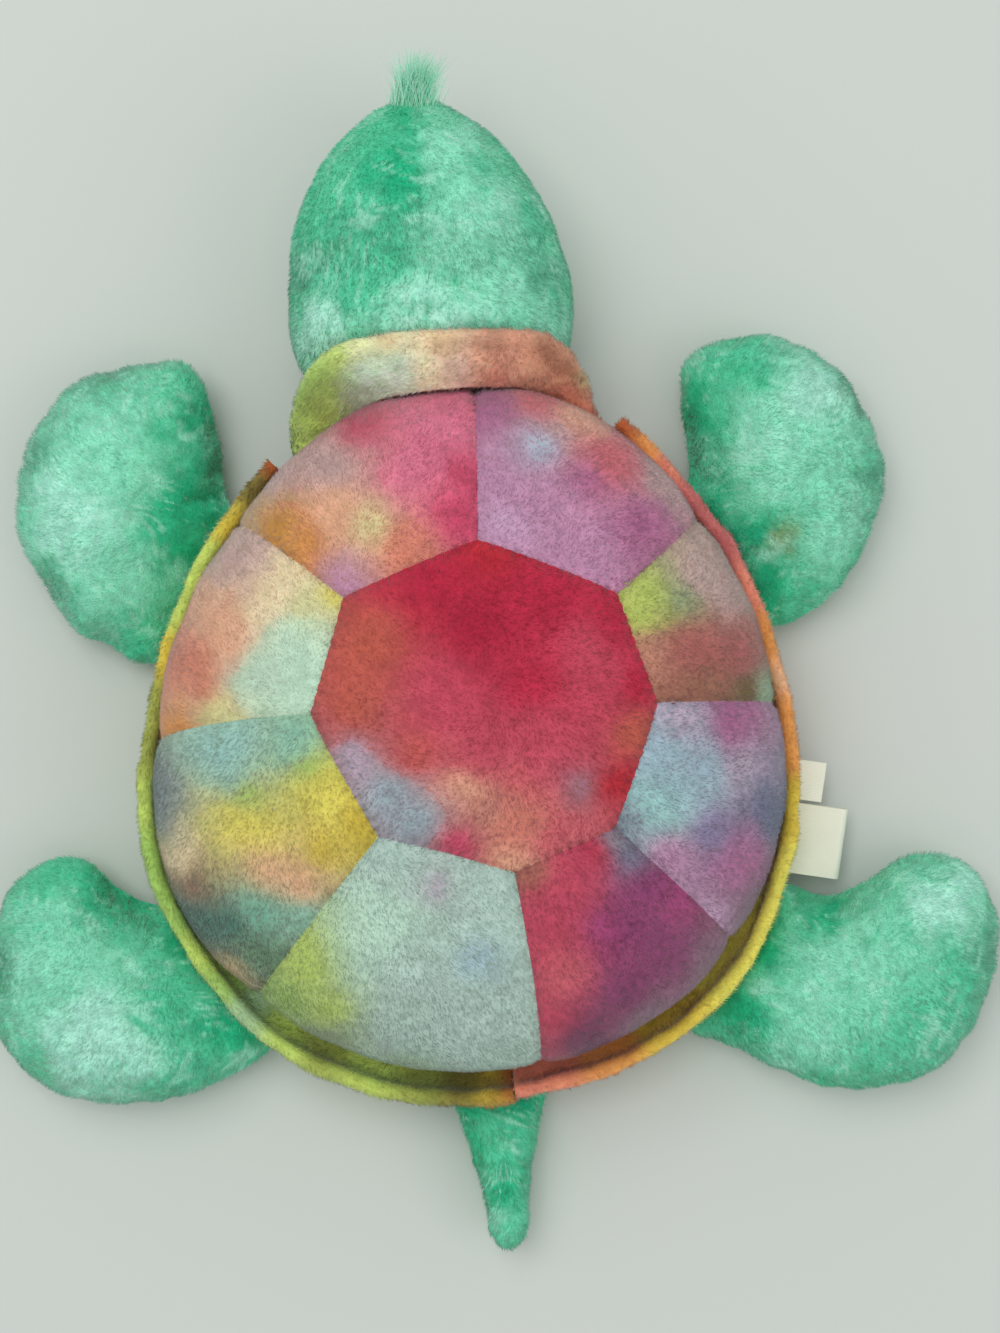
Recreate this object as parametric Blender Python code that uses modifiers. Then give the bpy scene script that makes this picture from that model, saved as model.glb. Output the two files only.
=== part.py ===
"""Plush turtle with a patchwork shell, lying on its belly with its head along +Y.

The shell, belly, head, flippers and tail are cut cloth sewn round loose fibre, with a folded rim
and a folded collar in the seams and a pouch of pellets in the belly. Lengths are in metres.
Angles round the shell are in degrees, counted from +X towards +Y.
"""

import math

import bmesh
import bpy
from mathutils import Matrix, Vector

# Cloth, seams and the gaps between pieces that touch
CLOTH = 0.0011
PLIES = 2
FIT_GAP = 0.0003
SEAT_GAP = 0.0006
FIBRE_GAP = 0.0004
BODY_FIBRE_GAP = 0.0008
SEAM_DIP = 0.0009
FLOOR_GAP = 0.0005
OVERRUN = 0.02

# The body: its egg-shaped plan, the girth seam round it and the flat of the belly
SHELL_HALF_WIDTH = 0.0675
SHELL_FRONT = 0.0780
SHELL_REAR = 0.0700
EGG_SHARE = 0.1
GIRTH_HEIGHT = 0.0095
GIRTH_INSET = 0.0010
BELLY_ROUND = 0.0130
POUCH_HALF_WIDTH = 0.0340
POUCH_HALF_LENGTH = 0.0400
POUCH_HEIGHT = 0.0070

# The dome of the shell, whose highest point lies ahead of the middle
SHELL_HEIGHT = 0.0620
SHELL_WAIST = 0.0270
SHELL_TUCK = 0.0025
APEX_RIGHT = 0.0025
APEX_FORWARD = 0.0080
SHELL_ROUNDNESS = 2.5
BASE_FALL = 1.85

# Each seam of the patchwork: its angle and its share of the way out at the centre panel's corner,
# and its angle where it meets the rim
SEAM_SHARES = (
    (8.0, 0.58, 5.0),
    (38.0, 0.60, 40.0),
    (88.0, 0.50, 90.0),
    (140.0, 0.55, 145.0),
    (175.0, 0.50, 185.0),
    (230.0, 0.42, 232.0),
    (285.0, 0.44, 278.0),
    (325.0, 0.50, 320.0),
)

# The rim, a folded strip that stands up round the dome and ends in two front peaks
RIM_ROOT_INSET = 0.0030
RIM_LEAN = 0.0062
RIM_REAR_LEAN = 0.0048
RIM_RISE = 0.0095
RIM_REAR_DROP = 0.0002
RIM_PEAK = 0.0070
PEAK_WIDTH_DEGREES = 8.0
RIM_JOIN_ANGLE = 277.0
RIM_LEFT_END = 131.0
RIM_RIGHT_END = 59.5
RIM_EDGE_ROUND = 0.0007

# The neck, whose rear is round about the line on which the head nods
HEAD_RIGHT = -0.0085
NECK_RADIUS = 0.0195
NECK_FLOOR_GAP = 0.0020
NECK_SEAT = 0.0006
NECK_HALF_WIDTH = 0.0270
NECK_OPENING_DEGREES = 12.0

# The head in front of that line
HEAD_LENGTH = 0.0425
HEAD_HALF_WIDTH = 0.0304
HEAD_HALF_HEIGHT = 0.0247
HEAD_LEAN = -0.0030
NOSE_DROP = 0.0020
HEAD_FULL_SHARE = 0.38
HEAD_REAR_SHARE = 0.27
HEAD_ROUNDNESS = 2.2

# The collar, a folded band that arches over the neck
COLLAR_LEFT_ANGLE = 128.0
COLLAR_RIGHT_ANGLE = 60.0
COLLAR_FOOT_FALL = 1.7
COLLAR_TOP_FALL = 0.807
COLLAR_SHIFT = 0.0022
COLLAR_SIDE_ROOM = 0.0050
COLLAR_TOP_ROOM = 0.0060
COLLAR_FOOT_LIFT = 0.0030
COLLAR_FOOT_REACH = 0.0055
COLLAR_TOP_REACH = 0.0092

# Flippers and tail: reach out from the hinge line, span along it, and how they swell
FRONT_REACH = 0.0500
FRONT_SPAN = 0.0435
FRONT_SWELL = 0.0140
HIND_REACH = 0.0550
HIND_SPAN = 0.0465
HIND_SWELL = 0.0145
FLIPPER_TAPER = 0.0320
TAIL_REACH = 0.0460
TAIL_HALF_WIDTH = 0.0108
TAIL_SWELL = 0.0065
TAIL_TAPER = 0.0240
LIMB_ROOT_DROP = 0.0028
LIMB_RISE_SHARE = 0.06
LIMB_ROOT_SHARE = 0.34
FRONT_LEFT_ANGLE = 154.0
FRONT_RIGHT_ANGLE = 31.5
HIND_LEFT_ANGLE = 224.0
HIND_RIGHT_ANGLE = 320.5
TAIL_ANGLE = 274.5
FRONT_LEFT_SWING = -4.0
HIND_RIGHT_SWING = -7.0

# Outlines seen from above, as shares of the reach and of the span, from the middle of the root
FRONT_OUTLINE_SHARES = (
    (-0.04, 0.0),
    (0.0, 0.37),
    (0.17, 0.60),
    (0.29, 0.87),
    (0.52, 1.0),
    (0.79, 0.85),
    (0.98, 0.51),
    (0.96, 0.07),
    (0.75, -0.28),
    (0.46, -0.47),
    (0.15, -0.47),
    (-0.02, -0.28),
)
FRONT_MIDDLE_SHARE = (0.50, 0.20)
HIND_OUTLINE_SHARES = (
    (-0.04, 0.0),
    (0.02, 0.37),
    (0.20, 0.56),
    (0.29, 0.82),
    (0.49, 1.0),
    (0.75, 0.90),
    (0.95, 0.58),
    (1.0, 0.22),
    (0.85, -0.09),
    (0.56, -0.31),
    (0.24, -0.41),
    (0.0, -0.34),
)
HIND_MIDDLE_SHARE = (0.50, 0.26)
TAIL_OUTLINE_SHARES = (
    (-0.05, 0.0),
    (-0.02, 0.85),
    (0.15, 1.0),
    (0.40, 0.78),
    (0.70, 0.50),
    (0.93, 0.36),
    (1.0, 0.0),
    (0.93, -0.36),
    (0.70, -0.50),
    (0.40, -0.78),
    (0.15, -1.0),
    (-0.02, -0.85),
)
TAIL_MIDDLE_SHARE = (0.40, 0.0)

# Eyes with a shank and a washer, each set by its share of the head and its angle below the side
EYE_RADIUS = 0.0042
EYE_HEIGHT = 0.0026
EYE_BRIM = 0.0004
WELD = 0.00001
SHANK_RADIUS = 0.0014
SHANK_LENGTH = 0.0065
SHANK_GAP = 0.0002
WASHER_RADIUS = 0.0036
WASHER_SEAT = 0.0008
WASHER_THICKNESS = 0.0010
EYE_STATION_SHARE = 0.66
EYE_DROP_DEGREES = 24.0

# Tuft of hair at the top of the nose
TUFT_LENGTH = 0.0165
TUFT_HALF_WIDTH = 0.0085
TUFT_HALF_THICKNESS = 0.0028
TUFT_STATION_SHARE = 0.78
TUFT_ANGLE = 104.0

# Care tag, two blank ribbons sewn into the girth seam: one folded into a loop, one a short leaf
TAG_ANGLE = 346.5
LOOP_WIDTH = 0.0160
LOOP_REACH = 0.0195
LOOP_ROLL = 0.0018
LOOP_BACK_SHIFT = 0.0005
LEAF_WIDTH = 0.0090
LEAF_REACH = 0.0130
LEAF_DROOP = 0.0015
TAG_SPACING = 0.0008
TAG_ROOT_DROP = 0.0004
RIBBON = 0.0004

TURN = 360.0
QUARTER = 90.0

NECK_HEIGHT = NECK_RADIUS + NECK_FLOOR_GAP
NECK_PIVOT = Vector((HEAD_RIGHT, SHELL_FRONT - NECK_SEAT + NECK_RADIUS, NECK_HEIGHT))
RIM_ROOT_HEIGHT = GIRTH_HEIGHT + SEAT_GAP + CLOTH
SHELL_BASE = RIM_ROOT_HEIGHT + CLOTH + FIT_GAP
APEX = Vector((APEX_RIGHT, APEX_FORWARD, 0.0))
BODY_MIDDLE = Vector((APEX_RIGHT, APEX_FORWARD, SHELL_WAIST))


def blend(low, high, share):
    return low + (high - low) * share


def eased(share):
    share = min(max(share, 0.0), 1.0)
    return share * share * (3 - 2 * share)


def signed_power(value, power):
    return math.copysign(abs(value) ** power, value)


def new_collection(name):
    collection = bpy.data.collections.new(name)
    bpy.context.scene.collection.children.link(collection)
    return collection


for leftover in list(bpy.data.objects):
    bpy.data.objects.remove(leftover, do_unlink=True)
turtle = new_collection("plush_turtle")
guides = new_collection("cutters")


def finish(name, colour, roughness=0.9, sheen=0.4):
    """A Principled material. Cloth is rough with a little sheen."""
    material = bpy.data.materials.new(name)
    material.use_nodes = True
    shader = material.node_tree.nodes["Principled BSDF"]
    shader.inputs["Base Color"].default_value = (*colour, 1.0)
    shader.inputs["Roughness"].default_value = roughness
    shader.inputs["Metallic"].default_value = 0.0
    shader.inputs["Sheen Weight"].default_value = sheen
    return material


def add_piece(name, mesh, material, parent=None, collection=turtle):
    """Makes an object of a bmesh, with smooth faces that point outwards."""
    bmesh.ops.recalc_face_normals(mesh, faces=mesh.faces)
    if mesh.calc_volume(signed=True) < 0:
        bmesh.ops.reverse_faces(mesh, faces=mesh.faces)
    data = bpy.data.meshes.new(name)
    mesh.to_mesh(data)
    mesh.free()
    data.shade_smooth()
    if material:
        data.materials.append(material)
    piece = bpy.data.objects.new(name, data)
    piece.parent = parent
    collection.objects.link(piece)
    return piece


def hide_as_cutter(piece):
    piece.hide_render = True
    piece.display_type = "WIRE"
    return piece


def cut(piece, cutter):
    modifier = piece.modifiers.new(cutter.name, "BOOLEAN")
    modifier.operation = "DIFFERENCE"
    modifier.solver = "EXACT"
    modifier.object = cutter


def unit_grid(columns, rows):
    """A flat grid, whose points are named by their share across it and their share down it."""

    def make(mesh):
        made = bmesh.ops.create_grid(mesh, x_segments=columns, y_segments=rows, size=1)
        return [(vert, (vert.co.x + 1) / 2, (vert.co.y + 1) / 2) for vert in made["verts"]]

    return make


def unit_ball(around, rings, keep=None):
    """A ball, or the part of it to keep, whose points are named by longitude and latitude."""

    def make(mesh):
        made = bmesh.ops.create_uvsphere(mesh, u_segments=around, v_segments=rings, radius=1)
        named = []
        dropped = []
        for vert in made["verts"]:
            longitude = round(math.degrees(math.atan2(vert.co.y, vert.co.x)), 3) % TURN
            latitude = round(math.degrees(math.asin(min(max(vert.co.z, -1), 1))), 3)
            if keep is None or keep(longitude, latitude):
                named.append((vert, longitude, latitude))
            else:
                dropped.append(vert)
        bmesh.ops.delete(mesh, geom=dropped, context="VERTS")
        return named

    return make


def solid_form(name, surface, place, material, parent=None, collection=turtle):
    """A closed form: each point of a whole ball goes where place puts it."""
    mesh = bmesh.new()
    for vert, first, second in surface(mesh):
        vert.co = place(first, second)
    return add_piece(name, mesh, material, parent, collection)


def cut_cloth(name, surface, place, material, parent=None):
    """A piece of cloth: its right side, drawn out into a wrong side one cloth's depth behind."""
    mesh = bmesh.new()
    names = {}
    for vert, first, second in surface(mesh):
        names[tuple(round(size, 4) for size in vert.co)] = (first, second)
    right_side = set(mesh.verts)
    bmesh.ops.extrude_face_region(mesh, geom=mesh.faces[:], use_keep_orig=True)
    for vert in mesh.verts:
        first, second = names[tuple(round(size, 4) for size in vert.co)]
        depth = 0.0 if vert in right_side else CLOTH
        vert.co = place(first, second, depth)
    return add_piece(name, mesh, material, parent)


def folded_strip(name, surface, place, thickness, round_edge, material, parent=None):
    """A strip of doubled cloth: a middle surface given its thickness, with its edges rounded."""
    mesh = bmesh.new()
    for vert, first, second in surface(mesh):
        vert.co = place(first, second)
    piece = add_piece(name, mesh, material, parent)
    thick = piece.modifiers.new("thickness", "SOLIDIFY")
    thick.thickness = thickness
    thick.offset = 0
    if round_edge:
        rounded = piece.modifiers.new("rounded_edges", "BEVEL")
        rounded.width = round_edge
        rounded.segments = 2
        rounded.limit_method = "ANGLE"
    return piece


def hinge_empty(name, place, heading=0.0):
    """The mark on which a moving body turns, with its own X along the heading in degrees."""
    empty = bpy.data.objects.new(name, None)
    empty.location = place
    empty.rotation_euler = (0.0, 0.0, math.radians(heading))
    turtle.objects.link(empty)
    return empty


def outline(angle, out=0.0):
    """The body's plan outline, moved outwards: an egg, narrower towards the head."""
    turn = math.radians(angle)
    reach = SHELL_FRONT if math.sin(turn) > 0 else SHELL_REAR
    right = (SHELL_HALF_WIDTH + out) * math.cos(turn) * (1 - EGG_SHARE * math.sin(turn))
    return Vector((right, (reach + out) * math.sin(turn), 0.0))


def shell_point(angle, fall, depth=0.0):
    """A point of the dome. The fall is 0 at its top, 1 at its widest line and 2 at its base."""
    if fall <= 1:
        quarter = math.radians(QUARTER * fall)
        share = math.sin(quarter) ** (2 / SHELL_ROUNDNESS)
        climb = max(math.cos(quarter), 0.0) ** (2 / SHELL_ROUNDNESS)
        point = APEX.lerp(outline(angle, -depth), share)
        point.z = SHELL_WAIST + (SHELL_HEIGHT - depth - SHELL_WAIST) * climb
        return point
    quarter = math.radians(QUARTER * (fall - 1))
    point = outline(angle, -depth - SHELL_TUCK * (1 - math.cos(quarter)))
    point.z = SHELL_WAIST - (SHELL_WAIST - SHELL_BASE) * math.sin(quarter)
    return point


def fall_at(share):
    """The fall at which the dome has gone this share of the way out."""
    return math.degrees(math.asin(share ** (SHELL_ROUNDNESS / 2))) / QUARTER


def dipped(point, share):
    """A surface point drawn in towards the middle of the body, as the thread of a seam does."""
    return point + (BODY_MIDDLE - point).normalized() * (SEAM_DIP * share)


def panel_edge(seam, next_seam, share):
    """A straight edge of the centre panel, between two corners: its angle and its way out."""
    angle = blend(seam[0], next_seam[0], share)
    bow = 1 - math.cos(math.radians((next_seam[0] - seam[0]) / 2))
    straight = 1 - bow * 4 * share * (1 - share)
    return angle, blend(seam[1], next_seam[1], share) * straight


def seam_pairs():
    """Each seam with the one after it, whose angles have gone on past a full turn at the last."""
    first = SEAM_SHARES[0]
    last = (first[0] + TURN, first[1], first[2] + TURN)
    following = SEAM_SHARES[1:] + (last,)
    return list(zip(SEAM_SHARES, following))


def reach_of(angle):
    """How far the outline is from under the dome's top."""
    return (outline(angle) - APEX).length


# The patchwork: a centre panel with eight corners, and a panel from each of its edges to the rim


def side_panel_place(seam, next_seam):
    def place(across, down, depth):
        edge_angle, edge_share = panel_edge(seam, next_seam, across)
        edge_share += FIT_GAP / 2 / reach_of(edge_angle)
        angle = blend(edge_angle, blend(seam[2], next_seam[2], across), down)
        fall = blend(fall_at(edge_share), BASE_FALL, down)
        flat = shell_point(angle, min(fall, 1)) - APEX
        gap_angle = math.degrees(FIT_GAP / 2 / math.hypot(flat.x, flat.y))
        point = shell_point(angle + gap_angle * (1 - 2 * across), fall, depth)
        crown = (1 - (2 * across - 1) ** 4) * (1 - (1 - down) ** 6)
        return dipped(point, 1 - crown)

    return place


def centre_panel_place(longitude, latitude, depth):
    pairs = seam_pairs()
    step = TURN / len(pairs)
    number = int(longitude // step) % len(pairs)
    angle, edge_share = panel_edge(*pairs[number], longitude / step - number)
    edge_share -= FIT_GAP / 2 / reach_of(angle)
    out = math.cos(math.radians(latitude))
    point = shell_point(angle, fall_at(edge_share * out), depth)
    return dipped(point, out**8)


PANEL_COLOURS = (
    ("shell_panel_right", (0.40, 0.25, 0.14)),
    ("shell_panel_front_right", (0.52, 0.19, 0.34)),
    ("shell_panel_front_left", (0.65, 0.17, 0.25)),
    ("shell_panel_left", (0.74, 0.52, 0.38)),
    ("shell_panel_rear_left", (0.45, 0.42, 0.20)),
    ("shell_panel_tail_left", (0.50, 0.62, 0.51)),
    ("shell_panel_tail_right", (0.36, 0.08, 0.16)),
    ("shell_panel_rear_right", (0.42, 0.33, 0.48)),
)
upper_half = unit_ball(8 * len(SEAM_SHARES) // 2, 10, lambda longitude, latitude: latitude > -1)
cut_cloth(
    "shell_panel_centre",
    upper_half,
    centre_panel_place,
    finish("crimson_plush", (0.52, 0.06, 0.13)),
)
for (panel_name, panel_colour), (this_seam, after_seam) in zip(PANEL_COLOURS, seam_pairs()):
    cut_cloth(
        panel_name,
        unit_grid(6, 10),
        side_panel_place(this_seam, after_seam),
        finish(panel_name + "_plush", panel_colour),
    )


# The belly: an oval of cloth that turns up to the girth seam, flat where the turtle lies

BELLY_FLAT_LATITUDE = 60.0


def belly_place(longitude, latitude, depth=0.0):
    low = -latitude
    if low <= BELLY_FLAT_LATITUDE:
        turn = math.radians(QUARTER * low / BELLY_FLAT_LATITUDE)
        point = outline(longitude, -GIRTH_INSET - depth - BELLY_ROUND * (1 - math.cos(turn)))
        point.z = depth + (GIRTH_HEIGHT - depth) * (1 - math.sin(turn))
        return point
    flat_share = (QUARTER - low) / (QUARTER - BELLY_FLAT_LATITUDE)
    point = APEX.lerp(outline(longitude, -GIRTH_INSET - depth - BELLY_ROUND), flat_share)
    point.z = depth
    return point


lower_half = unit_ball(36, 12, lambda longitude, latitude: latitude < 1)
cut_cloth("belly_panel", lower_half, belly_place, finish("belly_plush", (0.50, 0.42, 0.33)))


# The pouch of pellets on the belly cloth, and the fibre that fills the body over and round it


def pouch_place(extra):
    middle = CLOTH + FIT_GAP + POUCH_HEIGHT / 2

    def place(longitude, latitude):
        turn, lift = math.radians(longitude), math.radians(latitude)
        out = math.cos(lift) ** 0.8
        return Vector(
            (
                (POUCH_HALF_WIDTH + extra) * out * math.cos(turn),
                (POUCH_HALF_LENGTH + extra) * out * math.sin(turn),
                middle + (POUCH_HEIGHT / 2 + extra) * signed_power(math.sin(lift), 0.8),
            )
        )

    return place


def body_fibre_place(longitude, latitude):
    depth = CLOTH + SEAM_DIP + BODY_FIBRE_GAP
    if latitude >= 0:
        return shell_point(longitude, 1 - latitude / QUARTER, depth)
    turn = math.radians(-latitude)
    tuck = (GIRTH_INSET + BELLY_ROUND) * (1 - math.cos(turn))
    share = math.cos(turn) ** 0.5
    point = outline(longitude, -depth - tuck) * share
    point.z = SHELL_WAIST - (SHELL_WAIST - CLOTH - FIBRE_GAP) * math.sin(turn) ** 0.8
    return point


whole_pouch = unit_ball(24, 8)
pellets = finish("pellet_bag_cloth", (0.75, 0.74, 0.70), 0.7, 0.0)
fibre = finish("polyester_fibre", (0.82, 0.82, 0.80), 0.95, 0.2)
solid_form("pellet_pouch", whole_pouch, pouch_place(0.0), pellets)
pouch_room = solid_form("pouch_room", whole_pouch, pouch_place(FIT_GAP), None, None, guides)
body_fibre = solid_form("shell_stuffing", unit_ball(36, 12), body_fibre_place, fibre)
cut(body_fibre, hide_as_cutter(pouch_room))


# The rim: two strips joined at the rear, sewn in above the belly and standing up round the dome


def rim_place(from_angle, to_angle):
    def place(along, climb):
        angle = blend(from_angle, to_angle, along)
        rearward = max(-math.sin(math.radians(angle)), 0.0)
        lean = RIM_LEAN + RIM_REAR_LEAN * rearward
        peak = math.exp(-(((angle - to_angle) / PEAK_WIDTH_DEGREES) ** 2))
        rise = RIM_RISE - RIM_REAR_DROP * rearward + RIM_PEAK * peak
        turn = math.radians(QUARTER * climb)
        point = outline(angle, lean * math.sin(turn) - RIM_ROOT_INSET)
        point.z = RIM_ROOT_HEIGHT + rise * (1 - math.cos(turn))
        return point

    return place


HEM = PLIES * CLOTH
join_gap_degrees = math.degrees(FIT_GAP / SHELL_REAR)
for rim_name, rim_start, rim_end, rim_colour in (
    ("rim_left", RIM_JOIN_ANGLE - join_gap_degrees, RIM_LEFT_END, (0.38, 0.36, 0.10)),
    ("rim_right", RIM_JOIN_ANGLE, RIM_RIGHT_END + TURN, (0.70, 0.33, 0.12)),
):
    folded_strip(
        rim_name,
        unit_grid(30, 4),
        rim_place(rim_start, rim_end),
        HEM,
        RIM_EDGE_ROUND,
        finish(rim_name + "_plush", rim_colour),
    )


# The collar: its rear edge is sewn to the dome, and its front edge stands over the neck


def collar_place(along, forward):
    angle = blend(COLLAR_RIGHT_ANGLE, COLLAR_LEFT_ANGLE, along)
    swing = math.radians(TURN / 2 * along)
    lift = max(math.sin(swing), 0.0)
    fall = COLLAR_FOOT_FALL - (COLLAR_FOOT_FALL - COLLAR_TOP_FALL) * lift**0.6
    root = shell_point(angle, fall, -HEM / 2 - FIT_GAP)
    foot_height = GIRTH_HEIGHT + COLLAR_FOOT_LIFT
    top_height = NECK_HEIGHT + NECK_RADIUS + COLLAR_TOP_ROOM
    half_span = NECK_HALF_WIDTH + COLLAR_SIDE_ROOM
    front = Vector(
        (
            HEAD_RIGHT + COLLAR_SHIFT + half_span * signed_power(math.cos(swing), 0.85),
            root.y + blend(COLLAR_FOOT_REACH, COLLAR_TOP_REACH, lift),
            blend(foot_height, top_height, lift**0.8),
        )
    )
    point = root.lerp(front, forward)
    point.z += CLOTH * math.sin(math.radians(QUARTER * 2 * forward)) * lift
    return point


folded_strip(
    "neck_collar",
    unit_grid(20, 4),
    collar_place,
    HEM,
    RIM_EDGE_ROUND,
    finish("collar_plush", (0.52, 0.48, 0.30)),
)


# The head: two halves sewn along the middle, round a fibre filling, on the line where it nods


def head_section(share, depth):
    """Middle and half sizes of the head's cross-section, counted from the nod line."""
    if share <= HEAD_REAR_SHARE:
        rear = share / HEAD_REAR_SHARE
        turn = math.radians(blend(NECK_OPENING_DEGREES, QUARTER, rear))
        radius = NECK_RADIUS - depth
        half_width = blend(NECK_HALF_WIDTH, HEAD_HALF_WIDTH, eased(rear)) - depth
        middle = Vector((0.0, -radius * math.cos(turn), 0.0))
        return middle, half_width, radius * math.sin(turn)
    front = math.sin(math.radians(QUARTER * (share - HEAD_REAR_SHARE) / (1 - HEAD_REAR_SHARE)))
    width_left = max(1 - front**2.3, 0.0) ** (1 / HEAD_ROUNDNESS)
    full_rise = HEAD_HALF_HEIGHT + FLOOR_GAP - NECK_HEIGHT
    if front < HEAD_FULL_SHARE:
        growth = eased(front / HEAD_FULL_SHARE)
        half_height = blend(NECK_RADIUS, HEAD_HALF_HEIGHT, growth) - depth
        rise = full_rise * growth
    else:
        past = (front - HEAD_FULL_SHARE) / (1 - HEAD_FULL_SHARE)
        height_left = max(1 - past**HEAD_ROUNDNESS, 0.0) ** (1 / HEAD_ROUNDNESS)
        half_height = (HEAD_HALF_HEIGHT - depth) * height_left
        rise = full_rise - NOSE_DROP * eased(past)
    middle = Vector((HEAD_LEAN * front, (HEAD_LENGTH - depth) * front, rise))
    return middle, (HEAD_HALF_WIDTH - depth) * width_left, half_height


def head_point(share, angle, depth=0.0):
    """A point of the head. The angle goes round it from its right side over its top."""
    middle, half_width, half_height = head_section(share, depth)
    turn = math.radians(angle)
    power = 2 / HEAD_ROUNDNESS
    across = half_width * signed_power(math.cos(turn), power)
    up = half_height * signed_power(math.sin(turn), power)
    return middle + Vector((across, 0.0, up))


HEAD_AROUND = 24
HEAD_RINGS = 12
first_ring = 2 * QUARTER / HEAD_RINGS - QUARTER


def head_place(side, fill_depth=0.0):
    """Puts a point of a ball on the head, a half seam's gap to one side of its middle."""

    def place(longitude, latitude, depth=fill_depth):
        if latitude < first_ring - 1:
            return head_section(0.0, depth)[0]
        share = (latitude - first_ring) / (QUARTER - first_ring)
        return head_point(share, longitude, depth) + Vector((side * FIT_GAP / 2, 0.0, 0.0))

    return place


def left_half(longitude, latitude):
    return latitude >= first_ring - 1 and (latitude > 89 or 89 < longitude < 271)


def right_half(longitude, latitude):
    return latitude >= first_ring - 1 and (latitude > 89 or not 91 < longitude < 269)


mint = finish("mint_crushed_plush", (0.09, 0.55, 0.35))
head_pivot = hinge_empty("head_pivot", NECK_PIVOT)
head_cloth = []
for half_name, half_side, keep_half in (
    ("head_cover_left", -1, left_half),
    ("head_cover_right", 1, right_half),
):
    half_surface = unit_ball(HEAD_AROUND, HEAD_RINGS, keep_half)
    half_place = head_place(half_side)
    head_cloth.append(cut_cloth(half_name, half_surface, half_place, mint, head_pivot))
head_fibre = solid_form(
    "head_stuffing",
    unit_ball(HEAD_AROUND, HEAD_RINGS),
    head_place(0, CLOTH + FIBRE_GAP),
    fibre,
    head_pivot,
)


# The eyes: a domed cap whose shank goes through the cloth, held from inside by a washer


def head_frame(share, angle):
    """A frame on the head's surface, with its own Z pointing straight out of the cloth."""
    point = head_point(share, angle)
    step_forward = head_point(share + 0.01, angle) - point
    step_round = head_point(share, angle + 1) - point
    out = step_round.cross(step_forward).normalized()
    if out.dot(point - head_section(share, 0.0)[0]) < 0:
        out.negate()
    turned = out.to_track_quat("Z", "Y").to_matrix().to_4x4()
    return Matrix.Translation(point) @ turned


def turned_piece(name, profile, material, frame, collection=turtle):
    """A profile of (radius, height) points, from the top down its outer side, turned round Z.

    A profile that starts on the axis ends there too. Any other one is closed to a ring.
    """
    count = len(profile)
    joined = [(number, (number + 1) % count) for number in range(count)]
    if profile[0][0] == 0.0:
        joined.pop()
    data = bpy.data.meshes.new(name)
    data.from_pydata([(radius, 0.0, height) for radius, height in profile], joined, [])
    if material:
        data.materials.append(material)
    piece = bpy.data.objects.new(name, data)
    collection.objects.link(piece)
    piece.parent = head_pivot
    piece.matrix_local = frame
    screw = piece.modifiers.new("turned", "SCREW")
    screw.steps = 16
    screw.render_steps = 16
    screw.use_merge_vertices = True
    screw.merge_threshold = WELD
    screw.use_smooth_shade = True
    return piece


def eye_profile():
    cap = []
    for step in range(5):
        turn = math.radians(QUARTER * step / 5)
        cap.append((EYE_RADIUS * math.sin(turn), FIT_GAP + EYE_HEIGHT * math.cos(turn)))
    return cap + [
        (EYE_RADIUS, FIT_GAP + EYE_BRIM),
        (EYE_RADIUS, FIT_GAP),
        (SHANK_RADIUS, FIT_GAP),
        (SHANK_RADIUS, -SHANK_LENGTH),
        (0.0, -SHANK_LENGTH),
    ]


def washer_profile():
    top = -CLOTH - WASHER_SEAT
    bottom = top - WASHER_THICKNESS
    bore = SHANK_RADIUS + SHANK_GAP
    return [(bore, top), (WASHER_RADIUS, top), (WASHER_RADIUS, bottom), (bore, bottom)]


def rod_profile(radius, top, bottom):
    return [(0.0, top), (radius, top), (radius, bottom), (0.0, bottom)]


glossy_black = finish("glossy_black_plastic", (0.01, 0.01, 0.01), 0.12, 0.0)
white_plastic = finish("white_plastic", (0.80, 0.80, 0.78), 0.45, 0.0)
for eye_side, eye_angle, cloth in (
    ("left", 2 * QUARTER + EYE_DROP_DEGREES, head_cloth[0]),
    ("right", -EYE_DROP_DEGREES, head_cloth[1]),
):
    eye_share = blend(HEAD_REAR_SHARE, 1.0, EYE_STATION_SHARE)
    eye_frame = head_frame(eye_share, eye_angle)
    turned_piece("eye_" + eye_side, eye_profile(), glossy_black, eye_frame)
    turned_piece("eye_washer_" + eye_side, washer_profile(), white_plastic, eye_frame)
    shank_hole = turned_piece(
        "shank_hole_" + eye_side,
        rod_profile(SHANK_RADIUS + SHANK_GAP, OVERRUN, -OVERRUN / 2),
        None,
        eye_frame,
        guides,
    )
    cut(cloth, hide_as_cutter(shank_hole))
    pocket_depth = SHANK_LENGTH + FIT_GAP
    pocket = turned_piece(
        "washer_pocket_" + eye_side,
        rod_profile(WASHER_RADIUS + FIT_GAP, OVERRUN, -pocket_depth),
        None,
        eye_frame,
        guides,
    )
    cut(head_fibre, hide_as_cutter(pocket))


# The tuft of hair: a bunch that is round at its root and fans out to a thin tip


def tuft_place(longitude, latitude):
    turn = math.radians(longitude)
    along = (latitude + QUARTER) / (2 * QUARTER)
    swell = math.sin(math.radians(2 * QUARTER * along)) ** 0.6 * (1 - 0.35 * along)
    if latitude < -89:
        swell = 0.0
    return Vector(
        (
            TUFT_HALF_WIDTH * swell * math.cos(turn),
            TUFT_HALF_THICKNESS * swell * math.sin(turn),
            FIT_GAP + TUFT_LENGTH * along,
        )
    )


tuft_frame = head_frame(blend(HEAD_REAR_SHARE, 1.0, TUFT_STATION_SHARE), TUFT_ANGLE)
hair_tuft = solid_form("hair_tuft", unit_ball(10, 6), tuft_place, mint, head_pivot)
hair_tuft.matrix_local = tuft_frame


# The flippers and the tail: an upper and a lower cloth round fibre, hinged on a seam at the girth


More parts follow.
